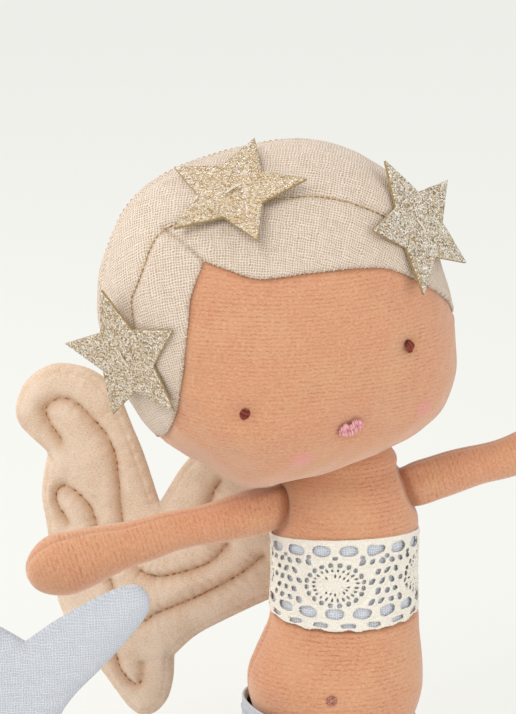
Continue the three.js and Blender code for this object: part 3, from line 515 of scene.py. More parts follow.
class Finish:
    """A node material, with short ways to add nodes; a socket given as a value is linked, a number is set."""

    def __init__(self, name, roughness, **constants):
        self.material = bpy.data.materials.new(name)
        self.material.use_nodes = True
        self.tree = self.material.node_tree
        self.shader = self.tree.nodes["Principled BSDF"]
        self.shader.inputs["Roughness"].default_value = roughness
        for key, value in constants.items():
            self.shader.inputs[key.replace("_", " ")].default_value = value

    def node(self, kind, inputs=None, **settings):
        """A new shader node with its settings and its inputs, by name or number."""
        made = self.tree.nodes.new("ShaderNode" + kind)
        for key, value in settings.items():
            setattr(made, key, value)
        for key, value in (inputs or {}).items():
            self.put(value, made.inputs[key])
        return made

    def put(self, value, socket):
        """Links an output to the socket, or sets a plain value on it."""
        if isinstance(value, bpy.types.NodeSocket):
            self.tree.links.new(value, socket)
        else:
            socket.default_value = value

    def math(self, operation, *values):
        """The result of one sum on the values."""
        return self.node("Math", dict(enumerate(values)), operation=operation).outputs[0]

    def noise(self, vector, scale, detail=2, roughness=0.5):
        """Noise from 0 to 1, with about that many lumps to a unit of the vector."""
        inputs = {"Vector": vector, "Scale": scale, "Detail": detail, "Roughness": roughness}
        return self.node("TexNoise", inputs).outputs["Fac"]

    def stretched(self, vector, size):
        """The vector with each part multiplied by its own size."""
        return self.node("Mapping", {"Vector": vector, "Scale": size}).outputs[0]

    def ramp(self, factor, *stops):
        """A colour ramp of (place, colour code) stops."""
        made = self.node("ValToRGB", {"Fac": factor})
        marks = made.color_ramp.elements
        while len(marks) < len(stops):
            marks.new(0.5)
        for mark, (place, code) in zip(marks, stops):
            mark.position = place
            mark.color = srgb(code)
        return made.outputs[0]

    def blend(self, factor, a, b, blend_type="MIX"):
        """Colour a with b over it, as strongly as the factor."""
        made = self.node("Mix", data_type="RGBA", blend_type=blend_type)
        for value, index in ((factor, 0), (a, 6), (b, 7)):
            self.put(value, made.inputs[index])
        return made.outputs[2]

    def cloth(self):
        """The piece's own cloth places in millimetres, and their two parts."""
        place = self.node("UVMap", uv_map="cloth").outputs[0]
        parts = self.node("SeparateXYZ", {0: place})
        return place, parts.outputs[0], parts.outputs[1]

    def object_place(self):
        """Places in the object's own frame, in metres."""
        return self.node("TexCoord").outputs["Object"]

    def with_painted_shade(self, colour, deep, share):
        """The colour, deeper as painted shade where the piece's number for folds and seams is high."""
        painted_shade = self.node("Attribute", attribute_name="painted_shade", attribute_type="GEOMETRY").outputs["Fac"]
        return self.blend(self.math("MULTIPLY", painted_shade, share), colour, srgb(deep))

    def span(self, value, low, high, start=0.0, end=1.0):
        """The value between low and high eased on to start to end."""
        inputs = {"Value": value, 1: low, 2: high, 3: start, 4: end}
        return self.node("MapRange", inputs, interpolation_type="SMOOTHSTEP").outputs[0]

    def done(self, colour, height=None, depth=0.0, strength=1.0):
        """Sets the colour, and a bump whose height runs over the depth in metres."""
        self.put(colour, self.shader.inputs["Base Color"])
        if height is not None:
            bump = self.node("Bump", {"Strength": strength, "Distance": depth, "Height": height})
            self.put(bump.outputs[0], self.shader.inputs["Normal"])
        return self.material


def ribbed_velour(name, line, deep, pile, light, blush_at=()):
    """Knit velour: a fine pile crossed by thin broken lines at the rib pitch, with blush rubbed on."""
    f = Finish(name, 0.92, Sheen_Weight=1.0, Sheen_Roughness=0.45, Sheen_Tint=srgb("ffe9da"),
               Specular_IOR_Level=0.12)
    place, _, across = f.cloth()
    waver = f.math("MULTIPLY", f.noise(f.stretched(place, (0.05, 0.3, 1)), 1.0, 2), 1.2)
    curl = f.math("MULTIPLY_ADD", f.noise(f.stretched(place, (0.55, 0.6, 1)), 1.0, 2, 0.6), 1.5, waver)
    phase = f.math("FRACT", f.math("DIVIDE", f.math("ADD", across, curl), RIB_PITCH))
    off_rib = f.math("ABSOLUTE", f.math("SUBTRACT", phase, 0.5))
    groove = f.span(off_rib, 0.22, 0.48)
    broken = f.span(f.noise(f.stretched(place, (0.8, 1.0, 1)), 1.0, 3, 0.75), 0.42, 0.6, 0.0, 1.0)
    region = f.span(f.noise(place, 0.045, 2), 0.35, 0.65, 0.5, 1.0)
    groove = f.math("MULTIPLY", groove, f.math("MULTIPLY", broken, region))
    speck = f.noise(place, 2.4, 3, 0.75)
    loops = f.noise(f.stretched(place, (0.9, 1.2, 1)), 1.0, 2, 0.6)
    tone = f.math("MULTIPLY_ADD", loops, 0.45, f.math("MULTIPLY", speck, 0.75))
    patch = f.noise(place, 0.3, 3, 0.6)
    tone = f.math("MULTIPLY_ADD", f.math("SUBTRACT", patch, 0.5), 0.14, tone)
    colour = f.ramp(tone, (0.4, deep), (0.59, pile), (0.78, light))
    colour = f.blend(f.math("MULTIPLY", groove, 0.6), colour, srgb(line))
    colour = f.blend(f.span(f.noise(place, 0.05, 3), 0.4, 0.7, 0.0, 0.3), colour, srgb(VELOUR_FADED))
    # Painted shade: darker in folds and along seams
    colour = f.with_painted_shade(colour, VELOUR_PAINTED_SHADE, 0.75)
    for spot in blush_at:
        from_to = {0: f.object_place(), 1: tuple(spot * MM)}
        away = f.node("VectorMath", from_to, operation="DISTANCE").outputs["Value"]
        edge = f.math("MULTIPLY_ADD", f.noise(place, 0.5, 3), 1.6 * MM, away)
        near = f.span(edge, 0.2 * BLUSH_RADIUS * MM, 1.2 * BLUSH_RADIUS * MM, 0.6, 0.0)
        colour = f.blend(near, colour, srgb(BLUSH_COLOUR))
    height = f.math("MULTIPLY_ADD", groove, -0.7, f.math("MULTIPLY_ADD", loops, 0.3, speck))
    return f.done(colour, height, depth=0.0002, strength=0.7)


def linen(name, pore, thread, light, deep, depth, slubby):
    """Plain weave: warp and weft pass over each other in turn, with slubs along the threads and pores."""
    f = Finish(name, 0.92, Sheen_Weight=0.15, Sheen_Roughness=0.6, Specular_IOR_Level=0.2)
    place, across, along = f.cloth()
    waver = f.noise(place, 0.3, 3)

    def thread_phase(value):
        """A sine that swings once for two threads, with a waver."""
        shifted = f.math("MULTIPLY_ADD", waver, 1.6, value)
        return f.math("SINE", f.math("MULTIPLY", shifted, math.pi / LINEN_PITCH))

    warp, weft = thread_phase(across), thread_phase(along)
    over = f.math("MULTIPLY", warp, weft)
    warp_round, weft_round = f.math("MULTIPLY", warp, warp), f.math("MULTIPLY", weft, weft)
    warp_slub = f.noise(f.stretched(place, (1.25, 0.12, 1)), 1.0, 1)
    weft_slub = f.noise(f.stretched(place, (0.12, 1.25, 1)), 1.0, 1)
    warp_high = f.math("MULTIPLY", warp_round, f.math("MULTIPLY_ADD", over, 0.3, 0.7))
    weft_high = f.math("MULTIPLY", weft_round, f.math("MULTIPLY_ADD", over, -0.3, 0.7))
    height = f.math("MAXIMUM", warp_high, weft_high)
    slub = f.math("MULTIPLY", f.math("ADD", warp_slub, weft_slub), 0.5)
    tone = f.math("MULTIPLY_ADD", f.math("SUBTRACT", slub, 0.5), slubby, f.math("MULTIPLY", height, 0.8))
    fibre = f.noise(place, 3.0, 2, 0.6)
    tone = f.math("MULTIPLY_ADD", f.math("SUBTRACT", fibre, 0.5), 0.5, tone)
    colour = f.ramp(tone, (0.02, pore), (0.4, thread), (0.85, light))
    # Painted shade: the deep colour where the piece is folded or seamed
    colour = f.with_painted_shade(colour, deep, 0.7)
    return f.done(colour, f.math("MULTIPLY_ADD", slub, 0.6, height), depth, strength=0.8)


def brushed_velour(name, deep, nap, light):
    """Brushed cloth with no ribs: a soft short nap with faint patches where it lies another way."""
    f = Finish(name, 0.93, Sheen_Weight=0.4, Sheen_Roughness=0.4, Sheen_Tint=srgb("fdeedd"),
               Specular_IOR_Level=0.12)
    place, _, _ = f.cloth()
    cloud = f.noise(place, 0.1, 3, 0.5)
    grain = f.noise(f.stretched(place, (1.0, 1.6, 1)), 1.3, 4, 0.75)
    tone = f.math("MULTIPLY_ADD", grain, 0.75, f.math("MULTIPLY", cloud, 0.25))
    colour = f.ramp(tone, (0.36, deep), (0.5, nap), (0.66, light))
    # Painted shade: darker along the stitched channels and the edge seam
    colour = f.with_painted_shade(colour, "bd8c5f", 0.6)
    return f.done(colour, grain, depth=0.0004, strength=0.75)


def cotton_lace(name):
    """Cream cotton thread: tight short twists on every strand."""
    f = Finish(name, 0.88, Sheen_Weight=0.15, Specular_IOR_Level=0.2)
    place, _, _ = f.cloth()
    twist = f.noise(f.stretched(place, (1.0, 1.0, 1)), 2.4, 3, 0.6)
    colour = f.ramp(twist, (0.25, "dcd3c0"), (0.5, "f1ebdf"), (0.8, "faf7f0"))
    return f.done(colour, twist, depth=0.0003, strength=0.9)


def glitter(name, gold):
    """Flakes of glitter under half a millimetre wide: each cell has its own shade, tilt and shine.

    Gold is rubbed over it in clouds, as strongly as the gold number. This darker gold is partly the
    glitter's own tint and partly painted shade on the star that catches the most light.
    """
    f = Finish(name, 0.4, Specular_IOR_Level=0.6)
    place = f.object_place()
    flakes = f.node("TexVoronoi", {"Vector": place, "Scale": 2500.0}, feature="F1")
    chance = f.node("SeparateColor", {0: flakes.outputs["Color"]}).outputs
    colour = f.ramp(chance[0], (0.0, "64523a"), (0.16, "9f8963"), (0.4, "c5b799"), (0.66, "dcd5c6"),
                    (0.9, "fdfcfa"))
    hue = f.ramp(chance[2], (0.0, "f0c6b8"), (0.3, "f7e6c0"), (0.55, "ffffff"), (0.8, "cfdcec"),
                 (1.0, "e9d0ea"))
    colour = f.blend(0.38, colour, hue, "MULTIPLY")
    colour = f.blend(f.math("MULTIPLY", f.noise(place, 220.0, 2), gold), colour, srgb("b8935e"))
    shine = f.node("MapRange", {"Value": chance[1], 1: 0.3, 2: 0.9, 3: 0.1, 4: 0.8}).outputs[0]
    rough = f.node("MapRange", {"Value": chance[2], 3: 0.2, 4: 0.6}).outputs[0]
    f.put(shine, f.shader.inputs["Metallic"])
    f.put(rough, f.shader.inputs["Roughness"])
    height = f.math("MULTIPLY_ADD", chance[1], 0.6, flakes.outputs["Distance"])
    return f.done(colour, height, depth=0.00022, strength=0.9)


def felt_edge(name):
    """The cut edge and the back of the felt: matted fibre."""
    f = Finish(name, 0.95, Sheen_Weight=0.2, Specular_IOR_Level=0.1)
    fibre = f.noise(f.object_place(), 1400.0, 4, 0.7)
    colour = f.ramp(fibre, (0.3, "87704a"), (0.55, "a98f62"), (0.8, "c8b186"))
    return f.done(colour, fibre, depth=0.0003, strength=0.8)


def thread(name, dark, mid, light, roughness, metallic=0.0):
    """Sewing thread: every stitch has its own shade, and fine twist lines cross it."""
    f = Finish(name, roughness, Metallic=metallic, Specular_IOR_Level=0.45)
    shade = f.node("Attribute", attribute_name="shade", attribute_type="GEOMETRY").outputs["Fac"]
    twist = f.noise(f.object_place(), 2600.0, 2)
    tone = f.math("MULTIPLY_ADD", shade, 0.6, f.math("MULTIPLY", twist, 0.5))
    colour = f.ramp(tone, (0.1, dark), (0.5, mid), (0.95, light))
    return f.done(colour, twist, depth=0.00012, strength=0.8)


# Camera, light and floor

def make_camera():
    """A camera at its azimuth and elevation about the target, far enough off to see the picture's height."""
    azimuth, elevation = math.radians(VIEW_AZIMUTH), math.radians(VIEW_ELEVATION)
    back = Vector((math.sin(azimuth) * math.cos(elevation), -math.cos(azimuth) * math.cos(elevation),
                   math.sin(elevation)))
    data = bpy.data.cameras.new("camera")
    data.sensor_width = SENSOR
    data.lens = SENSOR * VIEW_DISTANCE / VIEW_HEIGHT
    camera = bpy.data.objects.new("camera", data)
    camera.location = (Vector(VIEW_TARGET) + back * VIEW_DISTANCE) * MM
    camera.rotation_mode = "QUATERNION"
    camera.rotation_quaternion = (-back).to_track_quat("-Z", "Y")
    bpy.context.scene.collection.objects.link(camera)
    bpy.context.scene.camera = camera


def area_light(name, place, target, size, energy, tint):
    """A round lamp at a place that looks at its target."""
    data = bpy.data.lights.new(name, "AREA")
    data.shape = "DISK"
    data.size = size
    data.energy = energy
    data.color = tint
    lamp = bpy.data.objects.new(name, data)
    lamp.location = place
    lamp.rotation_mode = "QUATERNION"
    lamp.rotation_quaternion = (Vector(target) - Vector(place)).to_track_quat("-Z", "Y")
    bpy.context.scene.collection.objects.link(lamp)


def make_light():
    """A soft key from the upper left, a wide fill, a rim light, and an even world seen as the backdrop."""
    for name, lamp in LIGHTS.items():
        area_light(name, *lamp)
    world = bpy.data.worlds.new("pale")
    world.use_nodes = True
    tree = world.node_tree
    light = tree.nodes["Background"]
    light.inputs["Color"].default_value = WORLD_TINT
    light.inputs["Strength"].default_value = WORLD_LIGHT
    seen = tree.nodes.new("ShaderNodeBackground")
    seen.inputs["Color"].default_value = BACKDROP
    path = tree.nodes.new("ShaderNodeLightPath")
    either = tree.nodes.new("ShaderNodeMath")
    either.operation = "MAXIMUM"
    tree.links.new(path.outputs["Is Camera Ray"], either.inputs[0])
    tree.links.new(path.outputs["Is Glossy Ray"], either.inputs[1])
    choose = tree.nodes.new("ShaderNodeMixShader")
    tree.links.new(either.outputs[0], choose.inputs[0])
    tree.links.new(light.outputs[0], choose.inputs[1])
    tree.links.new(seen.outputs[0], choose.inputs[2])
    tree.links.new(choose.outputs[0], tree.nodes["World Output"].inputs["Surface"])
    bpy.context.scene.world = world
    bpy.context.scene.view_settings.view_transform = "Standard"


def make_floor():
    """A round pale floor that keeps the doll's shadow and meets the backdrop in one colour."""
    angle = np.linspace(0, 2 * np.pi, 64, endpoint=False)
    ring = np.stack([np.cos(angle), np.sin(angle), 0 * angle], -1)
    points = np.stack([ring * FLOOR_REACH, ring * FLOOR_REACH * 0.5])
    f = Finish("pale_floor", 0.9, Specular_IOR_Level=0.1)
    grain = f.noise(f.object_place(), 3.0, 2)
    f.done(f.ramp(grain, (0.0, "f2f2ef"), (1.0, "f5f5f2")))
    lit = f.node("Emission", {"Color": BACKDROP, "Strength": 1.0})
    seen = f.node("LightPath").outputs["Is Camera Ray"]
    share = f.math("MULTIPLY", seen, FLOOR_SEEN_AS_BACKDROP)
    both = f.node("MixShader", {0: share, 1: f.shader.outputs[0], 2: lit.outputs[0]})
    f.put(both.outputs[0], f.tree.nodes["Material Output"].inputs["Surface"])
    uv = np.zeros((2, len(angle) + 1, 2))
    floor = sheet_of("floor", points, uv, f.material, -1000 * UP, closed=True, last=np.zeros(3))


# Head

def head_frame():
    """The matrix and the middle that carry the head's own places to the doll's."""
    tilt = turned("y", HEAD_TILT)
    return tilt @ turned("z", HEAD_TURN), NECK + tilt @ HEAD_MIDDLE


def depth_turn(back):
    """The turn, from 0 at the ball's widest part, at which its surface lies that far back."""
    return math.asin((back / HEAD_HALF[1]) ** (HEAD_FULLNESS / 2))


HEAD_MATRIX, HEAD_PLACE = head_frame()
UPRIGHT = HEAD_MATRIX.T @ UP
SEAM_TURN = depth_turn(SIDE_SEAM_BACK)


def on_head(points):
    """Places in the head's own frame, carried to the doll's."""
    return points @ HEAD_MATRIX.T + HEAD_PLACE


def reach_of(turn):
    """A turn from minus a quarter at the nose, as a reach: 0 at the nose and 1 at the side seam."""
    return (turn + np.pi / 2) / (np.pi / 2 + SEAM_TURN)


def head_point(angle, reach):
    """A point of the ball, by its angle seen from the front and its reach from the nose to the back.

    The super-ellipse of the outline shrinks with the cosine of the turn, and the depth grows with its sine.
    """
    v = -np.pi / 2 + reach * (np.pi / 2 + SEAM_TURN)
    a, b, c = HEAD_HALF
    outline = (np.abs(np.cos(angle) / a) ** HEAD_SQUARENESS
               + np.abs(np.sin(angle) / c) ** HEAD_SQUARENESS) ** (-1 / HEAD_SQUARENESS)
    wide = np.clip(np.cos(v), 0, 1) ** (2 / HEAD_FULLNESS) * outline
    depth = b * signed_power(np.sin(v), 2 / HEAD_FULLNESS)
    return np.stack(np.broadcast_arrays(wide * np.cos(angle), depth, wide * np.sin(angle)), -1)


def head_normal(points):
    """The way the ball faces: the slope of the sum of powers that is 1 on it."""
    x, y, z = np.moveaxis(points / HEAD_HALF, -1, 0)
    across = np.abs(x) ** HEAD_SQUARENESS + np.abs(z) ** HEAD_SQUARENESS
    share = np.maximum(across, 1e-9) ** (HEAD_FULLNESS / HEAD_SQUARENESS - 1)
    slope = np.stack([share * signed_power(x, HEAD_SQUARENESS - 1), signed_power(y, HEAD_FULLNESS - 1),
                      share * signed_power(z, HEAD_SQUARENESS - 1)], -1)
    return unit(slope / HEAD_HALF)


def face_place(x, z):
    """Angle and reach of the point of the ball that is seen at x, z from the front."""
    across = (np.abs(x / HEAD_HALF[0]) ** HEAD_SQUARENESS
              + np.abs(z / HEAD_HALF[2]) ** HEAD_SQUARENESS) ** (1 / HEAD_SQUARENESS)
    v = -np.arccos(np.clip(across, 0, 1) ** (HEAD_FULLNESS / 2))
    return np.arctan2(z, x), reach_of(v)


def on_face(x, z):
    """The point of the ball that is seen at x, z from the front."""
    return head_point(*face_place(np.asarray(x, float), np.asarray(z, float)))


def unrolled(points, axis, up):
    """UV places of a part of the ball: distance from an axis kept true, laid out flat about it."""
    axis, ray = unit(np.array(axis, float)), unit(points)
    across = unit(np.cross(up, axis))
    rise = np.cross(axis, across)
    x, y, z = ray @ across, ray @ rise, np.clip(ray @ axis, -1, 1)
    away = np.arccos(z)
    flat = away / np.maximum(np.sin(away), 1e-6)
    return np.stack([x * flat, y * flat], -1) * HEAD_HALF.mean()


def hairline():
    """The hairline from the right side seam over the parting to the left one, as angle and reach."""
    fringe = spline([PARTING, *FRINGE])[::-1]
    temple = spline([PARTING, *TEMPLE])
    line = np.vstack([fringe, temple[1:]])
    angle, reach = face_place(line[:, 0], line[:, 1])
    angle = np.where(angle < -np.pi / 2, angle + 2 * np.pi, angle)
    reach[[0, -1]] = 1
    return angle, reach


HAIRLINE_ANGLE, HAIRLINE_REACH = hairline()


def head_angles(low, high, count):
    """Even angles between two limits, with every point of the hairline among them."""
    keys = HAIRLINE_ANGLE[(HAIRLINE_ANGLE > low) & (HAIRLINE_ANGLE < high)]
    return np.unique(np.round(np.concatenate([np.linspace(low, high, count), keys]), 5))


def face_reach(angle):
    """How far the face panel reaches at an angle: to the hairline, or else to the side seam."""
    return np.interp(angle, HAIRLINE_ANGLE, HAIRLINE_REACH, left=1, right=1)


def stuffed(points):
    """Unevenness of the stuffed head, in millimetres: lumps of two sizes, and the swell behind the face.

    The swell fades towards the face, the back and the middle.
    """
    x, y, z = np.moveaxis(points, -1, 0)
    swell = np.interp(np.degrees(np.arctan2(z, x)), *spline(HEAD_SWELL).T)
    swell = swell * smooth(y + 14 * smooth(-z, 5, 30), -24, 6) * (1 - 0.7 * smooth(y, 10, 34))
    swell = swell * smooth(np.hypot(x, z), 8, 40)
    return 0.5 * lumps(points, 38, seed=3) + 0.2 * lumps(points, 13, seed=4) + swell


def face_puff(points):
    """Unevenness of the face panel: the stuffed head's, and lumps of its own."""
    return stuffed(points) + 0.25 * lumps(points, 20, seed=12)


def raised(points, height):
    """Points of the ball moved out along its normal, in the doll's frame."""
    return on_head(points + head_normal(points) * np.asarray(height)[..., None])


def drawn_in(points, spot, size):
    """A bell of that depth and width about a spot of the face."""
    depth, width = size
    return depth * bell(np.linalg.norm(points - on_face(*spot), axis=-1), width)


def make_face():
    """The face panel: the ball out to the hairline and the side seams.

    It is drawn in at the eyes, the mouth and the chin, rippled along the hairline and turned in at its edge.
    Painted shade darkens it about the eyes and along the hairline.
    """
    start = -np.pi / 2
    angle = head_angles(start, start + 2 * np.pi, HEAD_COLUMNS)[:-1]
    limit = face_reach(angle)
    share = np.concatenate([np.linspace(0.015, 1, FACE_ROWS), [1, 1]])
    fold = np.concatenate([np.zeros(FACE_ROWS), [-1, -TURNING]])
    bare = head_point(angle[None], share[:, None] * limit[None])
    puff = face_puff(bare) + fold[:, None]
    painted_shade = np.zeros(puff.shape)
    for x, z, *_ in EYES.values():
        puff -= drawn_in(bare, (x, z), EYE_DIMPLE)
        # painted shade about each eye
        painted_shade += drawn_in(bare, (x, z), EYE_SHADE)
    puff -= drawn_in(bare, MOUTH, MOUTH_DIMPLE)
    puff -= drawn_in(bare, CHIN_PINCH, CHIN_DIMPLE)
    away, along = off_line(bare, head_point(HAIRLINE_ANGLE, HAIRLINE_REACH))
    ripple = np.sin(along * 0.75 + 2 * lumps(bare, 15, seed=14))
    puff += 0.28 * np.exp(-away / 6) * ripple * smooth(away, 0, 2)
    puff -= 0.5 * bell(away, 1.8)
    # painted shade along the hairline
    painted_shade += 0.5 * bell(away, 1.1)
    nose = head_point(np.array(0.0), np.array(0.0))
    uv = closed_uv(unrolled(bare, (0, -1, -0.1), UPRIGHT))
    blush_at = [on_head(on_face(x, z)) for x, z in BLUSH]
    material = ribbed_velour("face_velour", *VELOUR, blush_at)
    face = sheet_of("face_velour", raised(bare, puff), uv, material, HEAD_PLACE, closed=True,
                    first=raised(nose, face_puff(nose)))
    mark(face, painted_shade)
    finish_piece(face, "head", "skin_velour", "face_panel", "head_filling")


def make_hair_front(material):
    """The front hair: the ball from the hairline, where its edge is folded under, to the side seam.

    It is drawn in along the gold row and the dart.
    """
    low, high = HAIRLINE_ANGLE[0] + 0.004, HAIRLINE_ANGLE[-1] - 0.004
    angle = head_angles(low, high, HEAD_COLUMNS * 2 // 3)
    start = face_reach(angle)
    share = np.concatenate([[0, 0], np.linspace(0, 1, HAIR_ROWS) ** 1.15, [1]])
    bare = head_point(angle[None], mix(start[None], 1, share[:, None]))
    off_edge, _ = off_line(bare, head_point(HAIRLINE_ANGLE, HAIRLINE_REACH))
    off_seam, _ = off_line(bare, head_point(angle, np.ones_like(angle)))
    puff = stuffed(bare) + HAIR_PROUD * np.sqrt(1 - (1 - np.clip(off_edge / 1.4, 0, 1)) ** 2)
    puff -= 0.8 * bell(off_seam, 1.5)
    # Painted shade along the side seam and the folded edge
    painted_shade = 0.4 * bell(off_seam, 0.9) + 0.3 * bell(off_edge, 0.7)
    for line, depth, shade in ((TOPSTITCH, 0.5, 0.28), (DART, 0.7, 0.5)):
        gap, _ = off_line(bare, on_face(*spline(line).T))
        puff -= depth * bell(gap, 1.3)
        # Painted shade along the gold row and the dart
        painted_shade += shade * bell(gap, 0.7)
    puff[0] -= TURNING
    puff[1] -= 0.6
    puff[-1] -= TURNING
    uv = unrolled(bare, (0, -0.6, 0.8), UPRIGHT)
    front = sheet_of("hair_front_linen", raised(bare, puff), uv, material, HEAD_PLACE)
    mark(front, painted_shade)
    finish_piece(front, "head", "hair_linen", "hair_front_panel")


def make_hair_back(material):
    """The back of the head: the ball from the side seam, where its edge is folded under, to the far pole."""
    angle = np.linspace(0, 2 * np.pi, HEAD_COLUMNS, endpoint=False)
    far = reach_of(np.pi / 2)
    reach = np.concatenate([[1], mix(1, far, np.linspace(0, 0.985, FACE_ROWS))])
    bare = head_point(angle[None], reach[:, None])
    off_seam = np.linalg.norm(bare - bare[:1], axis=-1)
    puff = stuffed(bare) + HAIR_PROUD - 1.5 * bell(off_seam, 1.5)
    puff[0] -= TURNING
    pole = head_point(np.array(0.0), np.array(far))
    uv = closed_uv(unrolled(bare, (0, 1, 0.2), UPRIGHT))
    back = sheet_of("hair_back_linen", raised(bare, puff), uv, material, HEAD_PLACE, closed=True,
                    last=raised(pole, stuffed(pole) + HAIR_PROUD))
    finish_piece(back, "head", "hair_linen", "hair_back_panel")


def head_stitches(name, starts, ends, lifts, **look):
    """Stitches whose places and lifts are in the head's own frame; look is as for stitches."""
    return stitches(name, on_head(starts), on_head(ends), lifts @ HEAD_MATRIX.T, **look)


def make_hair_stitches(gold):
    """Small whip stitches over the hairline and in the dart, and gold running stitches sunk in the hair."""
    line = evenly(head_point(HAIRLINE_ANGLE, HAIRLINE_REACH), WHIP_PITCH)[2:-2]
    dart = evenly(on_face(*spline(DART[:2]).T), WHIP_PITCH)
    parts = []
    for row, wide, rise in ((line, 0.85, HAIR_PROUD), (dart, 0.5, HAIR_PROUD - 0.6)):
        along = unit(np.gradient(row, axis=0))
        normal = head_normal(row)
        up = np.cross(along, normal)
        up = up * np.sign(np.sum(up * (row - on_face(5, -10)), -1, keepdims=True))
        lift = stuffed(row)[:, None] * normal
        starts = row + lift + normal * (rise + 0.02) + up * wide - along * 0.3
        ends = row + lift - normal * 0.15 - up * 0.35 + along * 0.3
        parts.append((starts, ends, normal))
    starts, ends, normal = (np.concatenate(column) for column in zip(*parts))
    whip_thread = thread("whip_thread", "9c8068", "d3c0aa", "efe4d4", roughness=0.7)
    whip = head_stitches("hairline_whip_stitches", starts, ends, normal, radius=0.17, bow=0.16,
                         material=whip_thread, seed=5)
    finish_piece(whip, "head", "hair_linen")
    front_row = on_face(*spline(TOPSTITCH).T)
    over = np.linspace(HAIRLINE_ANGLE[0], HAIRLINE_ANGLE[-1], 200)
    back_row = head_point(over, reach_of(depth_turn(BACK_ROW_Y)))
    rows = {"front_gold_topstitch": (front_row, 0.3), "back_gold_topstitch": (back_row, 0.0)}
    for name, (row, sunk) in rows.items():
        starts, ends = dashes(row, TOPSTITCH_PITCH, 0.8)
        normal = head_normal((starts + ends) / 2)
        rise = (stuffed((starts + ends) / 2) + HAIR_PROUD - sunk + 0.08)[:, None] * normal
        piece = head_stitches(name, starts + rise, ends + rise, normal, radius=0.23, bow=0.13,
                              material=gold, seed=8)
        finish_piece(piece, "head", "gold_thread")


def right_and_up(normal):
    """Right and up on a face that looks along the normal."""
    up = unit(UP - normal * normal[2])
    return np.cross(up, normal), up


def spun(right, up, degrees):
    """Right and up turned together about the normal."""
    c, s = cos_sin(degrees)
    return right * c - up * s, up * c + right * s


def make_eyes():
    """Each eye is a pad of satin stitches that bow out of the face, longest in the middle."""
    dark = thread("eye_thread", "2a0602", "641407", "a83c1a", roughness=0.45)
    for name, (x, z, lean, wide, tall) in EYES.items():
        at = on_face(x, z)
        normal = head_normal(at)
        right, up = spun(*right_and_up(normal), -lean)
        place = np.linspace(-0.86, 0.86, EYE_THREADS)
        half = 0.5 * tall * np.sqrt(1 - place ** 2)
        across = at + right * (place * wide / 2)[:, None] - normal * 0.5
        jitter = np.random.default_rng(11).uniform(-0.12, 0.12, (2, EYE_THREADS))
        starts = across - up * (half + jitter[0])[:, None]
        ends = across + up * (half + jitter[1])[:, None]
        lifts = np.repeat(normal[None], EYE_THREADS, 0)
        piece = head_stitches(name + "_satin", starts, ends, lifts, radius=0.3, bow=0.5,
                              material=dark, seed=21)
        finish_piece(piece, "head", "eye_thread", name)


def make_mouth():
    """Rows of pink satin stitches between two upper bows and a rounded lower edge."""
    pink = thread("mouth_thread", "c8727a", "e49ca2", "f6c8c8", roughness=0.5)
    count = MOUTH_THREADS
    wide, tall = MOUTH_SIZE
    place = np.linspace(-0.97, 0.97, count)
    bows = np.sqrt(1 - (2 * np.abs(place) - 1) ** 2)
    top = 0.5 * tall * (0.95 * bows + 0.2 * (1 - np.abs(place)))
    low = -0.5 * tall * np.sqrt(1 - place ** 2) ** 1.1
    rng = np.random.default_rng(4)
    top, low = top + rng.uniform(-0.25, 0.25, count), low + rng.uniform(-0.3, 0.3, count)
    sideways = rng.uniform(-0.3, 0.3, count)
    middle = 0.5 * (top + low) + rng.uniform(-0.4, 0.4, count)
    starts, ends, lifts = [], [], []
    for begin, finish in ((low, middle + 0.25), (middle - 0.25, top)):
        x = MOUTH[0] + place * wide / 2
        first, second = on_face(x, MOUTH[1] + begin), on_face(x + sideways, MOUTH[1] + finish)
        normal = head_normal((first + second) / 2)
        starts.append(first + 0.05 * normal)
        ends.append(second + 0.05 * normal)
        lifts.append(normal)
    starts, ends, lifts = (np.concatenate(a) for a in (starts, ends, lifts))
    piece = head_stitches("mouth_satin", starts, ends, lifts, radius=0.24, bow=0.3, material=pink, seed=6)
    finish_piece(piece, "head", "mouth_thread", "mouth")


def touched_by(normal):
    """The point of the ball that a flat plate facing along the normal touches.

    It is the slope of the ball's support, a sum of powers whose exponents pair with the ball's own.
    """
    flat = HEAD_SQUARENESS / (HEAD_SQUARENESS - 1)
    deep = HEAD_FULLNESS / (HEAD_FULLNESS - 1)
    x, y, z = HEAD_HALF * normal
    across = (abs(x) ** flat + abs(z) ** flat) ** (1 / flat)
    reach = (across ** deep + abs(y) ** deep) ** (1 / deep)
    level = across ** (deep - flat) * reach ** (1 - deep)
    return HEAD_HALF * np.array([signed_power(x, flat - 1) * level,
                                 signed_power(y, deep - 1) * reach ** (1 - deep),
                                 signed_power(z, flat - 1) * level])


def star_outline():
    """Five straight-sided points, with many places along each side."""
    corner = np.arange(11) * np.pi / 5
    radius = np.where(np.arange(11) % 2 == 0, STAR_RADIUS, STAR_NOTCH)
    points = np.stack([radius * np.sin(corner), radius * np.cos(corner)], -1)
    share = np.linspace(0, 1, 14, endpoint=False)[None, :, None]
    return (points[:-1, None] * (1 - share) + points[1:, None] * share).reshape(-1, 2)


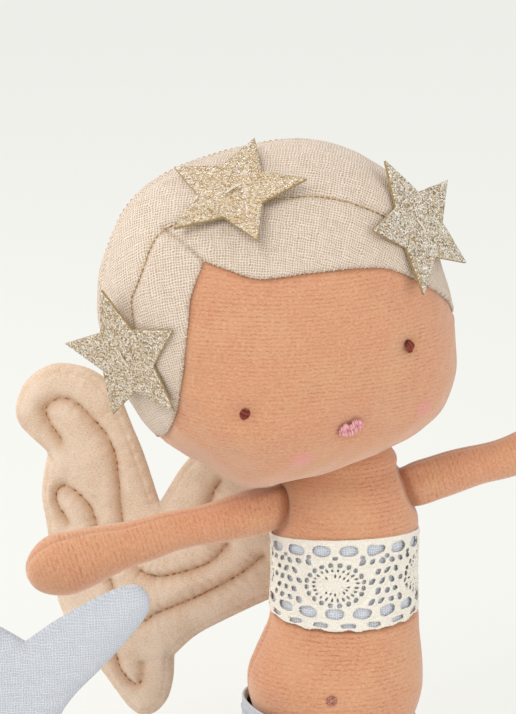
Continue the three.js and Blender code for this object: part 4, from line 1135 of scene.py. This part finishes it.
def make_stars(silver):
    """Flat felt stars, glitter on the front, their edge a little rounded and their tips bent by hand."""
    edge = felt_edge("felt_edge")
    outline = star_outline()
    columns = len(outline)
    inner = np.array([0.25, 0.5, 0.75, 0.95, 0.99])
    share = np.concatenate([inner, [1, 1], inner[::-1]])
    level = np.concatenate([np.zeros(4), [0.1, 0.3, STAR_THICKNESS - 0.2, STAR_THICKNESS - 0.05],
                            np.full(4, STAR_THICKNESS)])
    flat = outline[None] * share[:, None, None]
    size = np.linalg.norm(flat, axis=-1) / STAR_RADIUS
    around_star = np.arctan2(flat[..., 0], flat[..., 1])
    tip = 0.5 * (1 + np.cos(5 * around_star))
    which_tip = np.round(around_star / (2 * np.pi / 5)).astype(int) % 5
    is_felt = np.arange(len(share) - 1) <= len(inner)
    finish_of = np.concatenate([np.repeat(is_felt, columns), np.ones(columns, bool), np.zeros(columns, bool)])
    for name, star in STARS.items():
        finish = [glitter(name + "_glitter", star["gold"]), edge]
        around, rise = np.radians(star["facing"])
        normal = np.array([math.sin(around) * math.cos(rise), -math.cos(around) * math.cos(rise),
                           math.sin(rise)])
        right, up = right_and_up(normal)
        at = touched_by(normal) + right * star["aside"][0] + up * star["aside"][1] + normal * STAR_LIFT
        right, up = spun(right, up, star["turn"])
        height = level[:, None] + np.array(star["curl"])[which_tip] * tip * size ** 2
        points = at + flat[..., :1] * right + flat[..., 1:] * up + height[..., None] * normal
        felt = sheet_of(name + "_felt", on_head(points), closed_uv(flat), finish,
                        on_head(at + normal * STAR_THICKNESS / 2), closed=True, first=on_head(at),
                        last=on_head(at + normal * STAR_THICKNESS))
        felt.data.polygons.foreach_set("material_index", finish_of.astype(np.int32))
        finish_piece(felt, "head", "glitter_felt", name)
        cross, way = spun(right, up, star["stitch"] - star["turn"])
        top = at + normal * (STAR_THICKNESS + 0.12)
        offsets = np.array([-0.22, 0.24])[:, None] * cross
        starts = top + offsets - way * STAR_STITCH / 2
        ends = top - offsets * 0.4 + way * STAR_STITCH / 2
        lifts = np.repeat(normal[None], 2, 0)
        held = head_stitches(name + "_thread", starts, ends, lifts, radius=0.28, bow=0.32,
                             material=silver, seed=9)
        finish_piece(held, "head", "gold_thread", name + "_stitch")


# Torso

def torso_size(height):
    """Half width, half depth and place aside of the body at a height."""
    line = spline(BODY)
    return np.stack([np.interp(height, line[:, 0], line[:, k]) for k in (1, 2, 3)], -1)


def band_edges(angle):
    """Heights of the band's two edges at an angle round the body; it is widest at the chest."""
    front = np.maximum(0, -np.sin(angle))
    edges = zip(BAND, BAND_AT_SIDES, BAND_AT_CHEST)
    return [edge + mix(side, chest, front) for edge, side, chest in edges]


def torso_rows(step):
    """Heights, half sizes and places aside, from the bottom of the hip ball up to the cap inside the head."""
    below = np.linspace(-np.pi / 2 + 0.12, math.asin((HIP_TOP - HIP_HEIGHT) / HIP_WIDE), 26)[:-1]
    ball = np.stack([HIP_HEIGHT + HIP_WIDE * np.sin(below), HIP_WIDE * np.cos(below),
                     HIP_DEEP * np.cos(below), 0 * below + HIP_ASIDE], -1)
    heights = np.arange(HIP_TOP, NECK_TOP, step)
    middle = np.column_stack([heights, torso_size(heights)])
    above = np.linspace(0.05, np.pi / 2 - 0.12, 14)
    cap = np.stack([NECK_TOP + NECK_CAP * np.sin(above), NECK_WIDE * np.cos(above),
                    NECK_DEEP * np.cos(above), 0 * above + NECK_ASIDE], -1)
    return np.concatenate([ball, middle, cap])


def make_torso(velour):
    """Two panels of level half ellipses, sewn at the sides, drawn in under the band and at the arms."""
    height, wide, deep, aside = torso_rows(1.0).T[..., None]
    along = lengths(np.hstack([height, wide]))
    bottom, top = BAND
    for name, start, nodes in (("torso_front_velour", np.pi, ("torso_front_panel", "torso_filling")),
                               ("torso_back_velour", 0, ("torso_back_panel",))):
        angle = np.concatenate([[start], np.linspace(start, start + np.pi, 121), [start + np.pi]])
        c, s = np.cos(angle), np.sin(angle)
        normal = unit(np.stack(np.broadcast_arrays(c / wide, s / deep, 0 * height), -1))
        points = np.stack(np.broadcast_arrays(aside + wide * c, deep * s, height), -1)
        off_seam = np.minimum(np.abs(angle - start), np.abs(start + np.pi - angle)) * BODY_RADIUS
        puff = 0.35 * lumps(points, 26, seed=31) - 0.8 * bell(off_seam, 1.3)[None]
        low_edge, high_edge = band_edges(angle)
        level = mix(bottom, top, (height - low_edge) / (high_edge - low_edge))
        pressed = smooth(level, bottom - 2.4, bottom - 0.6) * (1 - smooth(level, top - 1.5, top + 0.5))
        beside_band = bell(level - bottom + 4, 5) + bell(level - top - 2, 4)
        puff += BAND_BULGE * beside_band * (1 - pressed) - BAND_PRESS * pressed
        # Painted shade along the band's edges
        painted_shade = 0.4 * bell(level - bottom + 1.2, 1.0) + 0.4 * bell(level - top, 1.2)
        for joint in ("left_arm_swing", "right_arm_swing"):
            off_arm = np.linalg.norm(points - PIVOT[joint], axis=-1) - ARM_RADIUS
            puff -= 1.1 * bell(off_arm, 2.0)
            # painted shade about each arm's root
            painted_shade += 0.8 * bell(off_arm, 1.1)
        puff[:, [0, -1]] -= TURNING
        skin = points + normal * puff[..., None]
        uv = cloth_uv(angle[None] * BODY_RADIUS, along[:, None])
        panel = sheet_of(name, skin, uv, velour, 85 * UP, first=(HIP_ASIDE, 0, HIP_HEIGHT - HIP_WIDE),
                         last=(NECK_ASIDE, 0, NECK_TOP + NECK_CAP))
        mark(panel, painted_shade)
        finish_piece(panel, "torso", "skin_velour", *nodes)


def make_navel():
    """An embroidered ring: overlapping stitches laid round a small circle."""
    wide, deep, aside = torso_size(NAVEL[1])
    x = NAVEL[0] - aside
    at = np.array([NAVEL[0], -deep * math.sqrt(1 - (x / wide) ** 2), NAVEL[1]])
    normal = unit(np.array([x / wide ** 2, at[1] / deep ** 2, 0]))
    right, up = right_and_up(normal)
    turn = 2 * np.pi * np.arange(NAVEL_THREADS) / NAVEL_THREADS

    def ring(angle, radius):
        """Points of a circle about the navel, a little proud of the cloth."""
        return at + radius * (np.cos(angle)[:, None] * right + np.sin(angle)[:, None] * up) + 0.3 * normal

    lifts = np.repeat(normal[None], NAVEL_THREADS, 0)
    brown = thread("navel_thread", "6f3a30", "a5695a", "cf9a8c", roughness=0.55)
    knot = stitches("navel_ring", ring(turn, 0.75), ring(turn + 0.75, 1.85), lifts, radius=0.33, bow=0.3,
                    material=brown, seed=14)
    finish_piece(knot, "torso", "navel_thread", "navel_knot")


# Band

def band_ring(offset, heights, count, start):
    """Points round the torso at a distance from it, at each height of the band, and their places round it."""
    angle = start + np.linspace(0, 2 * np.pi, count + 1)
    low_edge, high_edge = band_edges(angle)
    share = (np.asarray(heights)[:, None] - BAND[0]) / (BAND[1] - BAND[0])
    level = mix(low_edge, high_edge, share)
    wide, deep, aside = np.moveaxis(torso_size(mix(low_edge, high_edge, np.clip(share, 0, 1))), -1, 0)
    wide, deep = wide + offset, deep + offset
    points = np.stack([aside + wide * np.cos(angle), deep * np.sin(angle), level], -1)
    normal = unit(np.stack([np.cos(angle) / wide, np.sin(angle) / deep, 0 * level], -1))
    middle = np.array([wide.mean() * np.cos(angle), deep.mean() * np.sin(angle)]).T
    return points, normal, lengths(middle)


def make_lining(material):
    """A strip of pale linen round the chest, folded over at its two edges; it is the tail's linen painted
    paler, to offset the shade that the lace casts into its holes.
    """
    bottom, top = BAND
    heights = np.concatenate([[bottom - 0.4], np.linspace(bottom - 0.8, top - 0.6, 26), [top - 1.0]])
    points, normal, around = band_ring(LINING_OFFSET, heights, 160, BAND_FRONT)
    fold = np.zeros(len(heights))
    fold[[0, -1]] = -0.5
    skin = (points + normal * fold[:, None, None])[:, :-1]
    uv = cloth_uv(around[None], heights[:, None])
    lining = sheet_of("band_lining_linen", skin, uv, material, sum(BAND) / 2 * UP, closed=True)
    finish_piece(lining, "torso", "tail_linen", "band_lining")


def lace_holes(period):
    """Holes of one repeat about a rosette at 0, 0: centre, half sizes, turn and roundness."""
    step = period / LACE_OVALS
    holes = [((k + shift) * step, height, *half, 0, roundness)
             for shift, height, *half, roundness in LACE_ROWS for k in range(LACE_OVALS)]
    for share, count, *half in ROSETTE_RINGS:
        for angle in 2 * np.pi * (np.arange(count) + 0.5) / count:
            x, z = ROSETTE[0] * share * math.cos(angle), ROSETTE[1] * share * math.sin(angle)
            holes.append((x, z, *half, math.degrees(math.atan2(z, x)), 2))
    for row in range(-2, 3):
        for k in range(-LATTICE_COLUMNS // 2, LATTICE_COLUMNS // 2):
            x = (k + 0.5 + 0.5 * (row % 2)) * period / LATTICE_COLUMNS
            z = LATTICE_RISE + LATTICE_STEP * row
            if math.hypot(x / ROSETTE_CLEAR[0], z / ROSETTE_CLEAR[1]) > 1:
                lean = LATTICE_LEAN if x > 0 else -LATTICE_LEAN
                holes.append((x, z, *LATTICE_HOLE, lean, LATTICE_ROUNDNESS))
    return np.array(holes)


def lace_field(around, height, period):
    """How far a place on the lace is from the nearest hole's edge, below 0 inside a hole.

    A hole's edge is where the sum of powers of the two places over the half sizes is 1. What lies below the
    scalloped edge counts as a hole.
    """
    scallop = SCALLOP_RISE * np.abs(np.cos(np.pi * LACE_OVALS * around / period))
    found = 1.6 * (height - SCALLOP_EDGE + scallop)
    for cx, cz, rx, rz, turn, round_by in lace_holes(period):
        c, s = cos_sin(turn)
        dx, dz = (around - cx + period / 2) % period - period / 2, height - cz
        u, v = np.abs(dx * c + dz * s) / rx, np.abs(dz * c - dx * s) / rz
        found = np.minimum(found, ((u ** round_by + v ** round_by) ** (1 / round_by) - 1) * min(rx, rz))
    return found


def make_lace(material):
    """Crochet lace: a strip cut by a field of holes, with a cord raised along every hole, and its thickness.

    The grid's points beside a hole move down the field's slope on to its edge, so that the holes are round.
    """
    count, rows = LACE_COLUMNS, LACE_GRID_ROWS
    middle = sum(BAND) / 2
    heights = middle + np.linspace(-LACE_BELOW, (BAND[1] - BAND[0]) / 2 + 0.6, rows)
    points, normal, around = band_ring(LACE_OFFSET, heights, count, BAND_FRONT)
    period = around[-1] / LACE_REPEATS
    x, z = np.meshgrid(around, heights - middle)
    by_hand = smooth(np.minimum(x, around[-1] - x), 0, 8)
    drawn_x, drawn_z = (grid + amount * by_hand * lumps(np.stack([x, z], -1), 5, seed)
                        for grid, amount, seed in ((x, 0.3, 42), (z, 0.22, 43)))
    step = 0.02
    field = lace_field(drawn_x, drawn_z, period)
    slope_x = (lace_field(drawn_x + step, drawn_z, period) - field) / step
    slope_z = (lace_field(drawn_x, drawn_z + step, period) - field) / step
    pitch = around[-1] / count
    near = np.abs(field) < 0.75 * pitch
    pull = np.where(near, field / np.maximum(slope_x ** 2 + slope_z ** 2, 0.2), 0)
    pull_x, pull_z = (np.clip(pull * slope, -pitch, pitch) for slope in (slope_x, slope_z))
    tangent = unit(np.gradient(points, axis=1))
    shifted = points - tangent * pull_x[..., None]
    shifted[..., 2] -= pull_z
    cord = 0.35 * bell(field - 0.45, 0.4)
    grain = 0.09 * lumps(np.stack([x, z], -1), 0.9, seed=41)
    shifted += normal * (cord + grain)[..., None]
    shifted = shifted[:, :-1].reshape(-1, 3)
    solid = (field >= -0.75 * pitch)[:, :-1].reshape(-1)
    row, column = np.meshgrid(np.arange(rows - 1), np.arange(count), indexing="ij")

    def squares(width, beside_it):
        """The four point numbers of each square of a grid of that width."""
        return np.stack([row * width + column, row * width + beside_it, (row + 1) * width + beside_it,
                         (row + 1) * width + column], -1).reshape(-1, 4)

    quads = squares(count, (column + 1) % count)
    kept = solid[quads].all(1)
    flat_uv = np.stack([x, z], -1).reshape(-1, 2)[squares(count + 1, column + 1)[kept]]
    used, index = np.unique(quads[kept], return_inverse=True)
    quads = index.reshape(-1, 4)
    shifted = shifted[used]
    lace = build("lace_crochet", shifted, [quads], material, [flat_uv], middle * UP)
    thick = lace.modifiers.new("thread", "SOLIDIFY")
    thick.thickness = LACE_THREAD * MM
    thick.offset = -1
    finish_piece(lace, "torso", "lace", "lace_band")
    corners_of = shifted[quads]
    diagonals = np.cross(corners_of[:, 2] - corners_of[:, 0], corners_of[:, 3] - corners_of[:, 1])
    area = 0.5 * np.linalg.norm(diagonals, axis=1).sum()
    flat = (around[-1] * MM, (heights[-1] - heights[0]) * MM)
    area = min(area * MM ** 2, flat[0] * flat[1])


# Arms

def arm_radius(along):
    """Radius of the tube at a place along it: a blunt root, the spline of its radii, and a round hand."""
    line = spline(ARM_TUBE)
    root = np.clip(1 - np.clip(-along / ARM_RADIUS, 0, 1) ** 4, 0, None) ** 0.25
    hand = np.sqrt(1 - np.clip((along - ARM_TUBE[-1][0]) / (HAND_LENGTH / 2), 0, 1) ** 2)
    return np.interp(along, *line.T) * root * hand


def make_arm(name, velour, turn, bend, seam):
    """A round tube along a line that bends up evenly, drawn in at its seam and puckered at the shoulder."""
    ends = np.concatenate([-ARM_RADIUS * np.cos(np.linspace(0.15, np.pi / 2, 14))[:-1],
                           np.arange(0, ARM_LENGTH - HAND_LENGTH / 2, 0.8),
                           ARM_LENGTH - HAND_LENGTH / 2 * (1 - np.sin(np.linspace(0, np.pi / 2 - 0.1, 26)))])
    bent = np.maximum(0, ends - ARM_BEND_START)
    angle = math.radians(bend) * bent / (ARM_LENGTH - ARM_BEND_START)
    chord = bent * np.sinc(angle / 2 / np.pi)
    middle = np.stack([ends - bent + chord * np.cos(angle / 2), 0 * ends, chord * np.sin(angle / 2)], -1)
    up = np.stack([-np.sin(angle), 0 * angle, np.cos(angle)], -1)
    around = np.linspace(0, 2 * np.pi, ARM_COLUMNS, endpoint=False)
    sewn_flat = mix(0.8, 1, smooth(ends, -4, 9))[:, None, None]
    radial = (np.cos(around)[None, :, None] * sewn_flat * np.array([0, 1.0, 0])
              + np.sin(around)[None, :, None] * up[:, None])
    radius = arm_radius(ends)[:, None] * np.ones(ARM_COLUMNS)
    bare = middle[:, None] + radial * radius[..., None]
    seam_off = np.abs((around - math.radians(seam) + np.pi) % (2 * np.pi) - np.pi) * ARM_RADIUS
    sewn_in = bell(seam_off, 0.9)[None] * mix(0.2, 0.45, smooth(ends, 25, 60))[:, None]
    puff = 0.3 * lumps(bare, 17, seed=51) - sewn_in
    pucker = bell(ends - 4, 5)[:, None] * np.cos(6 * around + 0.6)[None]
    puff += 0.35 * pucker - 0.4 * bell(ends + 1, 3)[:, None]
    bare = bare + radial * puff[..., None]
    matrix = turned("y", -turn)
    origin = PIVOT[name + "_swing"]
    skin = bare @ matrix.T + origin
    body_wide, body_deep, aside = np.moveaxis(torso_size(skin[..., 2]), -1, 0)
    off_body = (np.hypot((skin[..., 0] - aside) / body_wide, skin[..., 1] / body_deep) - 1) * body_deep
    # Painted shade where the arm meets the body and along its seam
    painted_shade = 0.85 * bell(np.maximum(off_body, 0), 1.3) + 0.3 * bell(seam_off, 0.6)[None]
    tip = np.array([[-ARM_RADIUS, 0, 0], middle[-1] + unit(middle[-1] - middle[-2]) * 0.3])
    tip = tip @ matrix.T + origin
    wide = np.linspace(0, 2 * np.pi, ARM_COLUMNS + 1)[None] * ARM_RADIUS
    arc = lengths(np.stack([ends, arm_radius(ends)], -1))
    uv = cloth_uv(wide, arc[:, None])
    inside = np.array([ARM_LENGTH / 2, 0, 0]) @ matrix.T + origin
    arm = sheet_of(name + "_velour", skin, uv, velour, inside, closed=True, first=tip[0], last=tip[1])
    mark(arm, painted_shade)
    finish_piece(arm, name, "skin_velour", name + "_cover", name + "_filling")


# Wings and fin

def quilted(flat, outline, channels, half, edge, soft_edge, soft_channel):
    """Half thickness of a wadded piece: a round shoulder in from its edge and from each stitched channel.

    Small puckers run away from the stitching.
    """
    off_edge, along_edge = off_line(flat, outline)
    shoulder = 1 - (1 - np.clip(off_edge / soft_edge, 0, 1)) ** 2
    if channels:
        shoulder = shoulder - 0.1 * bell(off_edge - EDGE_SEAM, 0.7)
    pucker = 0.3 * np.exp(-off_edge / 4.0) * np.sin(along_edge * 1.45 + 2 * lumps(flat, 12, seed=3))
    for line in channels:
        gap, along = off_line(flat, line)
        shoulder = np.minimum(shoulder, 0.04 + 0.96 * (1 - (1 - np.clip(gap / soft_channel, 0, 1)) ** 2))
        pucker = pucker + 0.34 * np.exp(-gap / 3.4) * np.sin(along * 1.6 + 2 * lumps(flat, 9, seed=7))
    height = edge + (half - edge) * np.sqrt(np.maximum(shoulder, 0))
    height = height + pucker * np.clip(off_edge, 0, 1)
    height = height + (0.25 * lumps(flat, 19, seed=5) + 0.14 * lumps(flat, 5, seed=6)) * shoulder
    return np.maximum(height, edge * 0.6)


def channel_painted_shade(flat, outline, channels):
    """The painted shade of a wadded piece, as a number: high along its channels and a little along its edge
    seam.
    """
    off_edge = off_line(flat, outline)[0]
    painted_shade = 0.3 * np.exp(-off_edge / 1.0)
    for line in channels:
        painted_shade = np.maximum(painted_shade, 0.2 * bell(off_edge - EDGE_SEAM, 0.6))
        painted_shade = np.maximum(painted_shade, np.exp(-off_line(flat, line)[0] / 1.5))
    return painted_shade


def wadded(name, slot, outline, middle, frame_of, half, edge, soft, cloth, channels=(), sewing=None):
    """Front and back cloth over rings that shrink from the outline to the middle, joined at the edge seam.

    soft gives how far the shoulders reach in from the edge and from a channel. Stitches show on both sides.
    """
    rings = 1 - np.linspace(0, 0.985, 76) ** 1.15
    flat = np.array(middle) + rings[:, None, None] * (outline[:-1] - np.array(middle))[None]
    height = quilted(flat, outline, channels, half, edge, *soft)
    top = quilted(np.array([middle], float), outline, channels, half, edge, *soft)[0]
    origin, out, face = frame_of
    centre = origin + middle[0] * out + middle[1] * UP
    for side, sign in (("front", 1), ("back", -1)):
        level = sign * np.concatenate([np.full((1, height.shape[1]), 0.0), height])
        spread = np.concatenate([flat[:1], flat])
        points = origin + spread[..., :1] * out + spread[..., 1:] * UP + level[..., None] * face
        panel = sheet_of(f"{name}_{side}_cloth", points, closed_uv(spread), cloth,
                         centre - sign * 60 * face, closed=True, last=centre + sign * top * face)
        mark(panel, channel_painted_shade(spread, outline, channels))
        nodes = [f"{name}_{side}"] + ([f"{name}_wadding"] if sign > 0 else [])
        finish_piece(panel, name, slot, *nodes)
    if not channels:
        return
    starts, ends, lifts = [], [], []
    for line in channels:
        first, second = dashes(line, CHANNEL_PITCH, 0.72)
        for sign in (1, -1):
            at = []
            for spot in (first, second):
                rise = quilted(spot, outline, channels, half, edge, *soft) + 0.3
                at.append(origin + spot[:, :1] * out + spot[:, 1:] * UP + sign * rise[:, None] * face)
            starts.append(at[0])
            ends.append(at[1])
            lifts.append(np.repeat(sign * face[None], len(first), 0))
    rows = (np.concatenate(each) for each in (starts, ends, lifts))
    sewn = stitches(f"{name}_channel_stitches", *rows, radius=0.3, bow=0.2, material=sewing, seed=17)
    finish_piece(sewn, name, "gold_thread")


def make_wings():
    """Two wadded wings of one outline, the second a mirror of the first, sewn to the band at their roots."""
    cloth = brushed_velour("wing_velour", "d3b598", "e9d1ba", "f4e2d0")
    seam_thread = thread("wing_seam_thread", "c9ab8c", "e2cbb0", "f1e2d0", roughness=0.7)
    brown = thread("channel_thread", "8f5426", "b8743a", "d29a60", roughness=0.7)
    outline = np.vstack([spline(lobe)[:-1] for lobe in WING_LOBES])
    outline = evenly(np.vstack([outline, outline[:1]]), 1.05)
    channels = [evenly(spline(line), 1.0) for line in WING_CHANNELS]
    for name, sweep in WING_SWEEP.items():
        c, s = cos_sin(sweep)
        out = np.array([c, s, 0])
        face = np.array([-s, c, 0]) * (1 if name == "left_wing" else -1)
        root = PIVOT[name + "_flap"]
        wadded(name, "wing_velour", outline, WING_MIDDLE, (root, out, face), WING_HALF, WING_EDGE, WING_SOFT,
               cloth, channels, brown)
        heights = np.arange(BAND[0] + 3, BAND[1] - 1, WING_SEAM_PITCH)
        level = 0 * heights
        behind = torso_size(heights)[:, 1] + LACE_OFFSET + 0.8
        on_band = np.stack([level + root[0], behind, heights], -1)
        on_wing = np.stack([level + root[0], level + root[1], heights + 0.8], -1) + 1.6 * out
        lifts = np.repeat(-face[None] * (1 if face[1] < 0 else -1), len(heights), 0)
        on_wing = on_wing + 1.1 * lifts
        sewn = stitches(name + "_root_stitches", on_band, on_wing, lifts, radius=0.24, bow=0.2,
                        material=seam_thread, seed=19)
        finish_piece(sewn, name, "wing_velour")


def make_fin(material):
    """A wadded fin of two lobes, the left one a mirror of the right."""
    right = spline(FIN_LOBE)
    left = right[::-1] * np.array([-1, 1])
    outline = evenly(np.vstack([spline(FIN_ROOT), right[1:], left[1:]]), 0.9)
    frame_of = (PIVOT["fin_flap"], np.array([1.0, 0, 0]), np.array([0, -1.0, 0]))
    wadded("fin", "tail_linen", outline, FIN_MIDDLE, frame_of, FIN_HALF, FIN_EDGE, FIN_SOFT, material)


# Tail

def tail_sections():
    """Middles, outward and sideways directions and half sizes of the tail's sections.

    From the hem the sections fan about a level line beside the tail, through a quarter turn, and then they
    follow the curled path to the fin, narrowing as they go.
    """
    flat = unit(np.array([TAIL_JOINT[0], TAIL_JOINT[1], 0]))
    side = np.array([flat[1], -flat[0], 0])
    degrees = np.linspace(0, 90, 46)
    fan = np.radians(degrees)
    out_wide, out_deep = FAN_REACH + HEM_HALF[0] + 1.5, TAIL_HEM + SEAT_DEEP
    power = FAN_SQUARENESS
    outer = ((np.cos(fan) / out_wide) ** power + (np.sin(fan) / out_deep) ** power) ** (-1 / power)
    outer = mix(FAN_REACH + HEM_HALF[0], outer, smooth(degrees, 0, 14))
    inner = mix(FAN_REACH - HEM_HALF[0], TAIL_HEM - 2 * TAIL_RADIUS, smooth(degrees, 0, 90))
    away = -np.cos(fan)[:, None] * flat - np.sin(fan)[:, None] * UP
    pivot = FAN_REACH * flat + TAIL_HEM * UP
    middle = pivot + away * ((outer + inner) / 2)[:, None]
    middle[:, 0] += HEM_ASIDE * (1 - smooth(degrees, 0, 40))
    swell = mix(HEM_HALF[1], SEAT_HALF_DEPTH, smooth(degrees, 0, 25))
    wide = mix(swell, TAIL_RADIUS, smooth(degrees, 30, 90))
    fan_part = (middle, away, np.repeat(side[None], len(fan), 0), (outer - inner) / 2, wide)
    tip = PIVOT["fin_flap"] + np.array([0, 0, -0.6])
    path = evenly(spline([middle[-1], *TAIL_PATH, tip], 20), 1.2)
    heading = unit(np.gradient(path, axis=0))
    heading[0] = flat
    across = unit(np.array([0, 1.0, 0]) - heading * heading[:, 1:2])
    share = np.linspace(0, 1, len(path))
    ease = smooth(share, 0.12, 1)
    high = mix((outer - inner)[-1] / 2, TAIL_TIP_HALF[0], ease)
    deep = mix(mix(wide[-1], TAIL_NARROW, ease), TAIL_TIP_HALF[1], smooth(share, 0.72, 1))
    path_part = (path, np.cross(heading, across), across, high, deep)
    return [np.concatenate([a, b[1:]]) for a, b in zip(fan_part, path_part)]


def folded_hem(rim, centre):
    """Rows inside the rim: a facing close along the hip ball's level ellipse, then the fold up to the rim."""
    outward = unit(rim - centre)
    fold = [(HEM_FOLD, -1.2), (0.75 * HEM_FOLD, 0.25), (0.25 * HEM_FOLD, 0.3)]
    hem = [rim - outward * depth + rise * UP for depth, rise in fold]
    level = rim[:, 2] - HEM_FACING_DROP
    shrunk = np.sqrt(1 - ((level - HIP_HEIGHT) / HIP_WIDE) ** 2)
    wide, deep = (half * shrunk + HEM_CLEAR for half in (HIP_WIDE, HIP_DEEP))
    turn = np.arctan2(rim[:, 1] / deep, (rim[:, 0] - HIP_ASIDE) / wide)
    facing = np.stack([HIP_ASIDE + wide * np.cos(turn), deep * np.sin(turn), level], -1)
    return np.stack([facing, *hem])


def make_tail(material, sewing):
    """One skin of rounded sections from the folded hem to the fin, flat where it rests on the floor.

    Cross folds gather on the inner side of its two bends, and stitches hold the hem.
    """
    middle, away, side, high, wide = tail_sections()
    turn = np.linspace(0, 2 * np.pi, TAIL_COLUMNS, endpoint=False)
    c, s = (signed_power(f(turn), 2 / TAIL_SQUARENESS) for f in (np.cos, np.sin))
    high, wide = high[:, None], wide[:, None]

    def on_sections(out, aside):
        """The vectors that lie so far out and aside in each section."""
        return away[:, None] * out[..., None] + side[:, None] * aside[..., None]

    points = middle[:, None] + on_sections(high * c, wide * s)
    normal = unit(on_sections(c / high, s / wide))
    gone = lengths(middle)
    puff = 0.5 * lumps(points, 30, seed=61) + 0.2 * lumps(points, 11, seed=62)
    puff = puff * smooth(gone, 0, 12)[:, None]
    off_seam = np.minimum(np.abs(turn - np.pi / 2), np.abs(turn - 3 * np.pi / 2)) * 20
    puff -= 0.6 * bell(off_seam, 1.2)[None] * smooth(gone, 2, 10)[:, None]
    inner = np.clip(-c - 0.1, 0, None)[None] ** 1.3
    for place, spread in TAIL_FOLDS:
        folds = np.sin(2 * np.pi * gone[:, None] / FOLD_PITCH + 2.5 * lumps(points, 24, seed=63))
        puff += FOLD_HEIGHT * folds * inner * bell(gone - place, spread)[:, None]
    lean = -HEM_LEAN * points[..., :1] * (1 - smooth(gone, 0, 22))[:, None, None]
    points = points + lean * UP
    skin = points + normal * puff[..., None]
    skin[..., 2] = np.maximum(skin[..., 2], 0)
    skin = np.concatenate([folded_hem(points[0], middle[0]), skin])
    along = np.concatenate([HEM_ALONG, gone * 1.25])
    uv = cloth_uv(np.linspace(0, 2 * np.pi, TAIL_COLUMNS + 1)[None] * 25, along[:, None])
    tail = sheet_of("tail_linen_skin", skin, uv, material, np.array([-30.0, -9, 22]), closed=True,
                    last=PIVOT["fin_flap"])
    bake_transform(tail)
    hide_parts("tail_seat_cover", "tail_seat_filling", "tail_end_cover", "tail_end_filling")
    sewn = np.argmin(np.abs(gone - HEM_STITCH_DROP))
    ring = np.concatenate([points[sewn], points[sewn, :1]])
    starts, ends = dashes(ring, TOPSTITCH_PITCH, 0.7)
    lifts = unit(((starts + ends) / 2 - middle[sewn]) * np.array([1, 1, 0]))
    starts, ends = starts + 0.15 * lifts, ends + 0.15 * lifts
    row = stitches("tail_hem_stitches", starts, ends, lifts, radius=0.17, bow=0.1, material=sewing, seed=71)
    finish_piece(row, "tail_seat", "tail_linen")


make_camera()
make_light()
make_floor()
gold_thread = thread("gold_thread", "7d5c28", "b48d48", "dcc088", roughness=0.5, metallic=0.2)
star_thread = thread("star_thread", "a89878", "d8cbb0", "f4ecda", roughness=0.5)
body_velour = ribbed_velour("body_velour", *VELOUR)
# The fourth colour of each linen is its painted shade for folds and seams
hair_cloth = linen("hair_linen", "a88b73", "dac8b5", "ede2d5", "8f7560", depth=0.00022, slubby=0.6)
tail_cloth = linen("tail_linen", "b2b7c0", "c5c9d0", "d8dae0", "7f8897", depth=0.00014, slubby=0.4)
# The lining is the tail's linen painted paler, to offset the shade the lace casts into its holes
lightened_lining_cloth = linen("tail_linen_lightened", "bcc3cf", "d6dbe4", "ebedf2", "9aa3b0", depth=0.00014, slubby=0.4)
make_face()
make_hair_front(hair_cloth)
make_hair_back(hair_cloth)
make_hair_stitches(gold_thread)
make_eyes()
make_mouth()
make_stars(star_thread)
make_torso(body_velour)
make_navel()
make_lining(lightened_lining_cloth)
make_lace(cotton_lace("lace_cotton"))
for arm_name, arm in ARMS.items():
    make_arm(arm_name, body_velour, **arm)
make_wings()
make_fin(tail_cloth)
hem_thread = thread("hem_thread", "9aa2b0", "c3c9d2", "e2e5ea", roughness=0.7)
make_tail(tail_cloth, hem_thread)
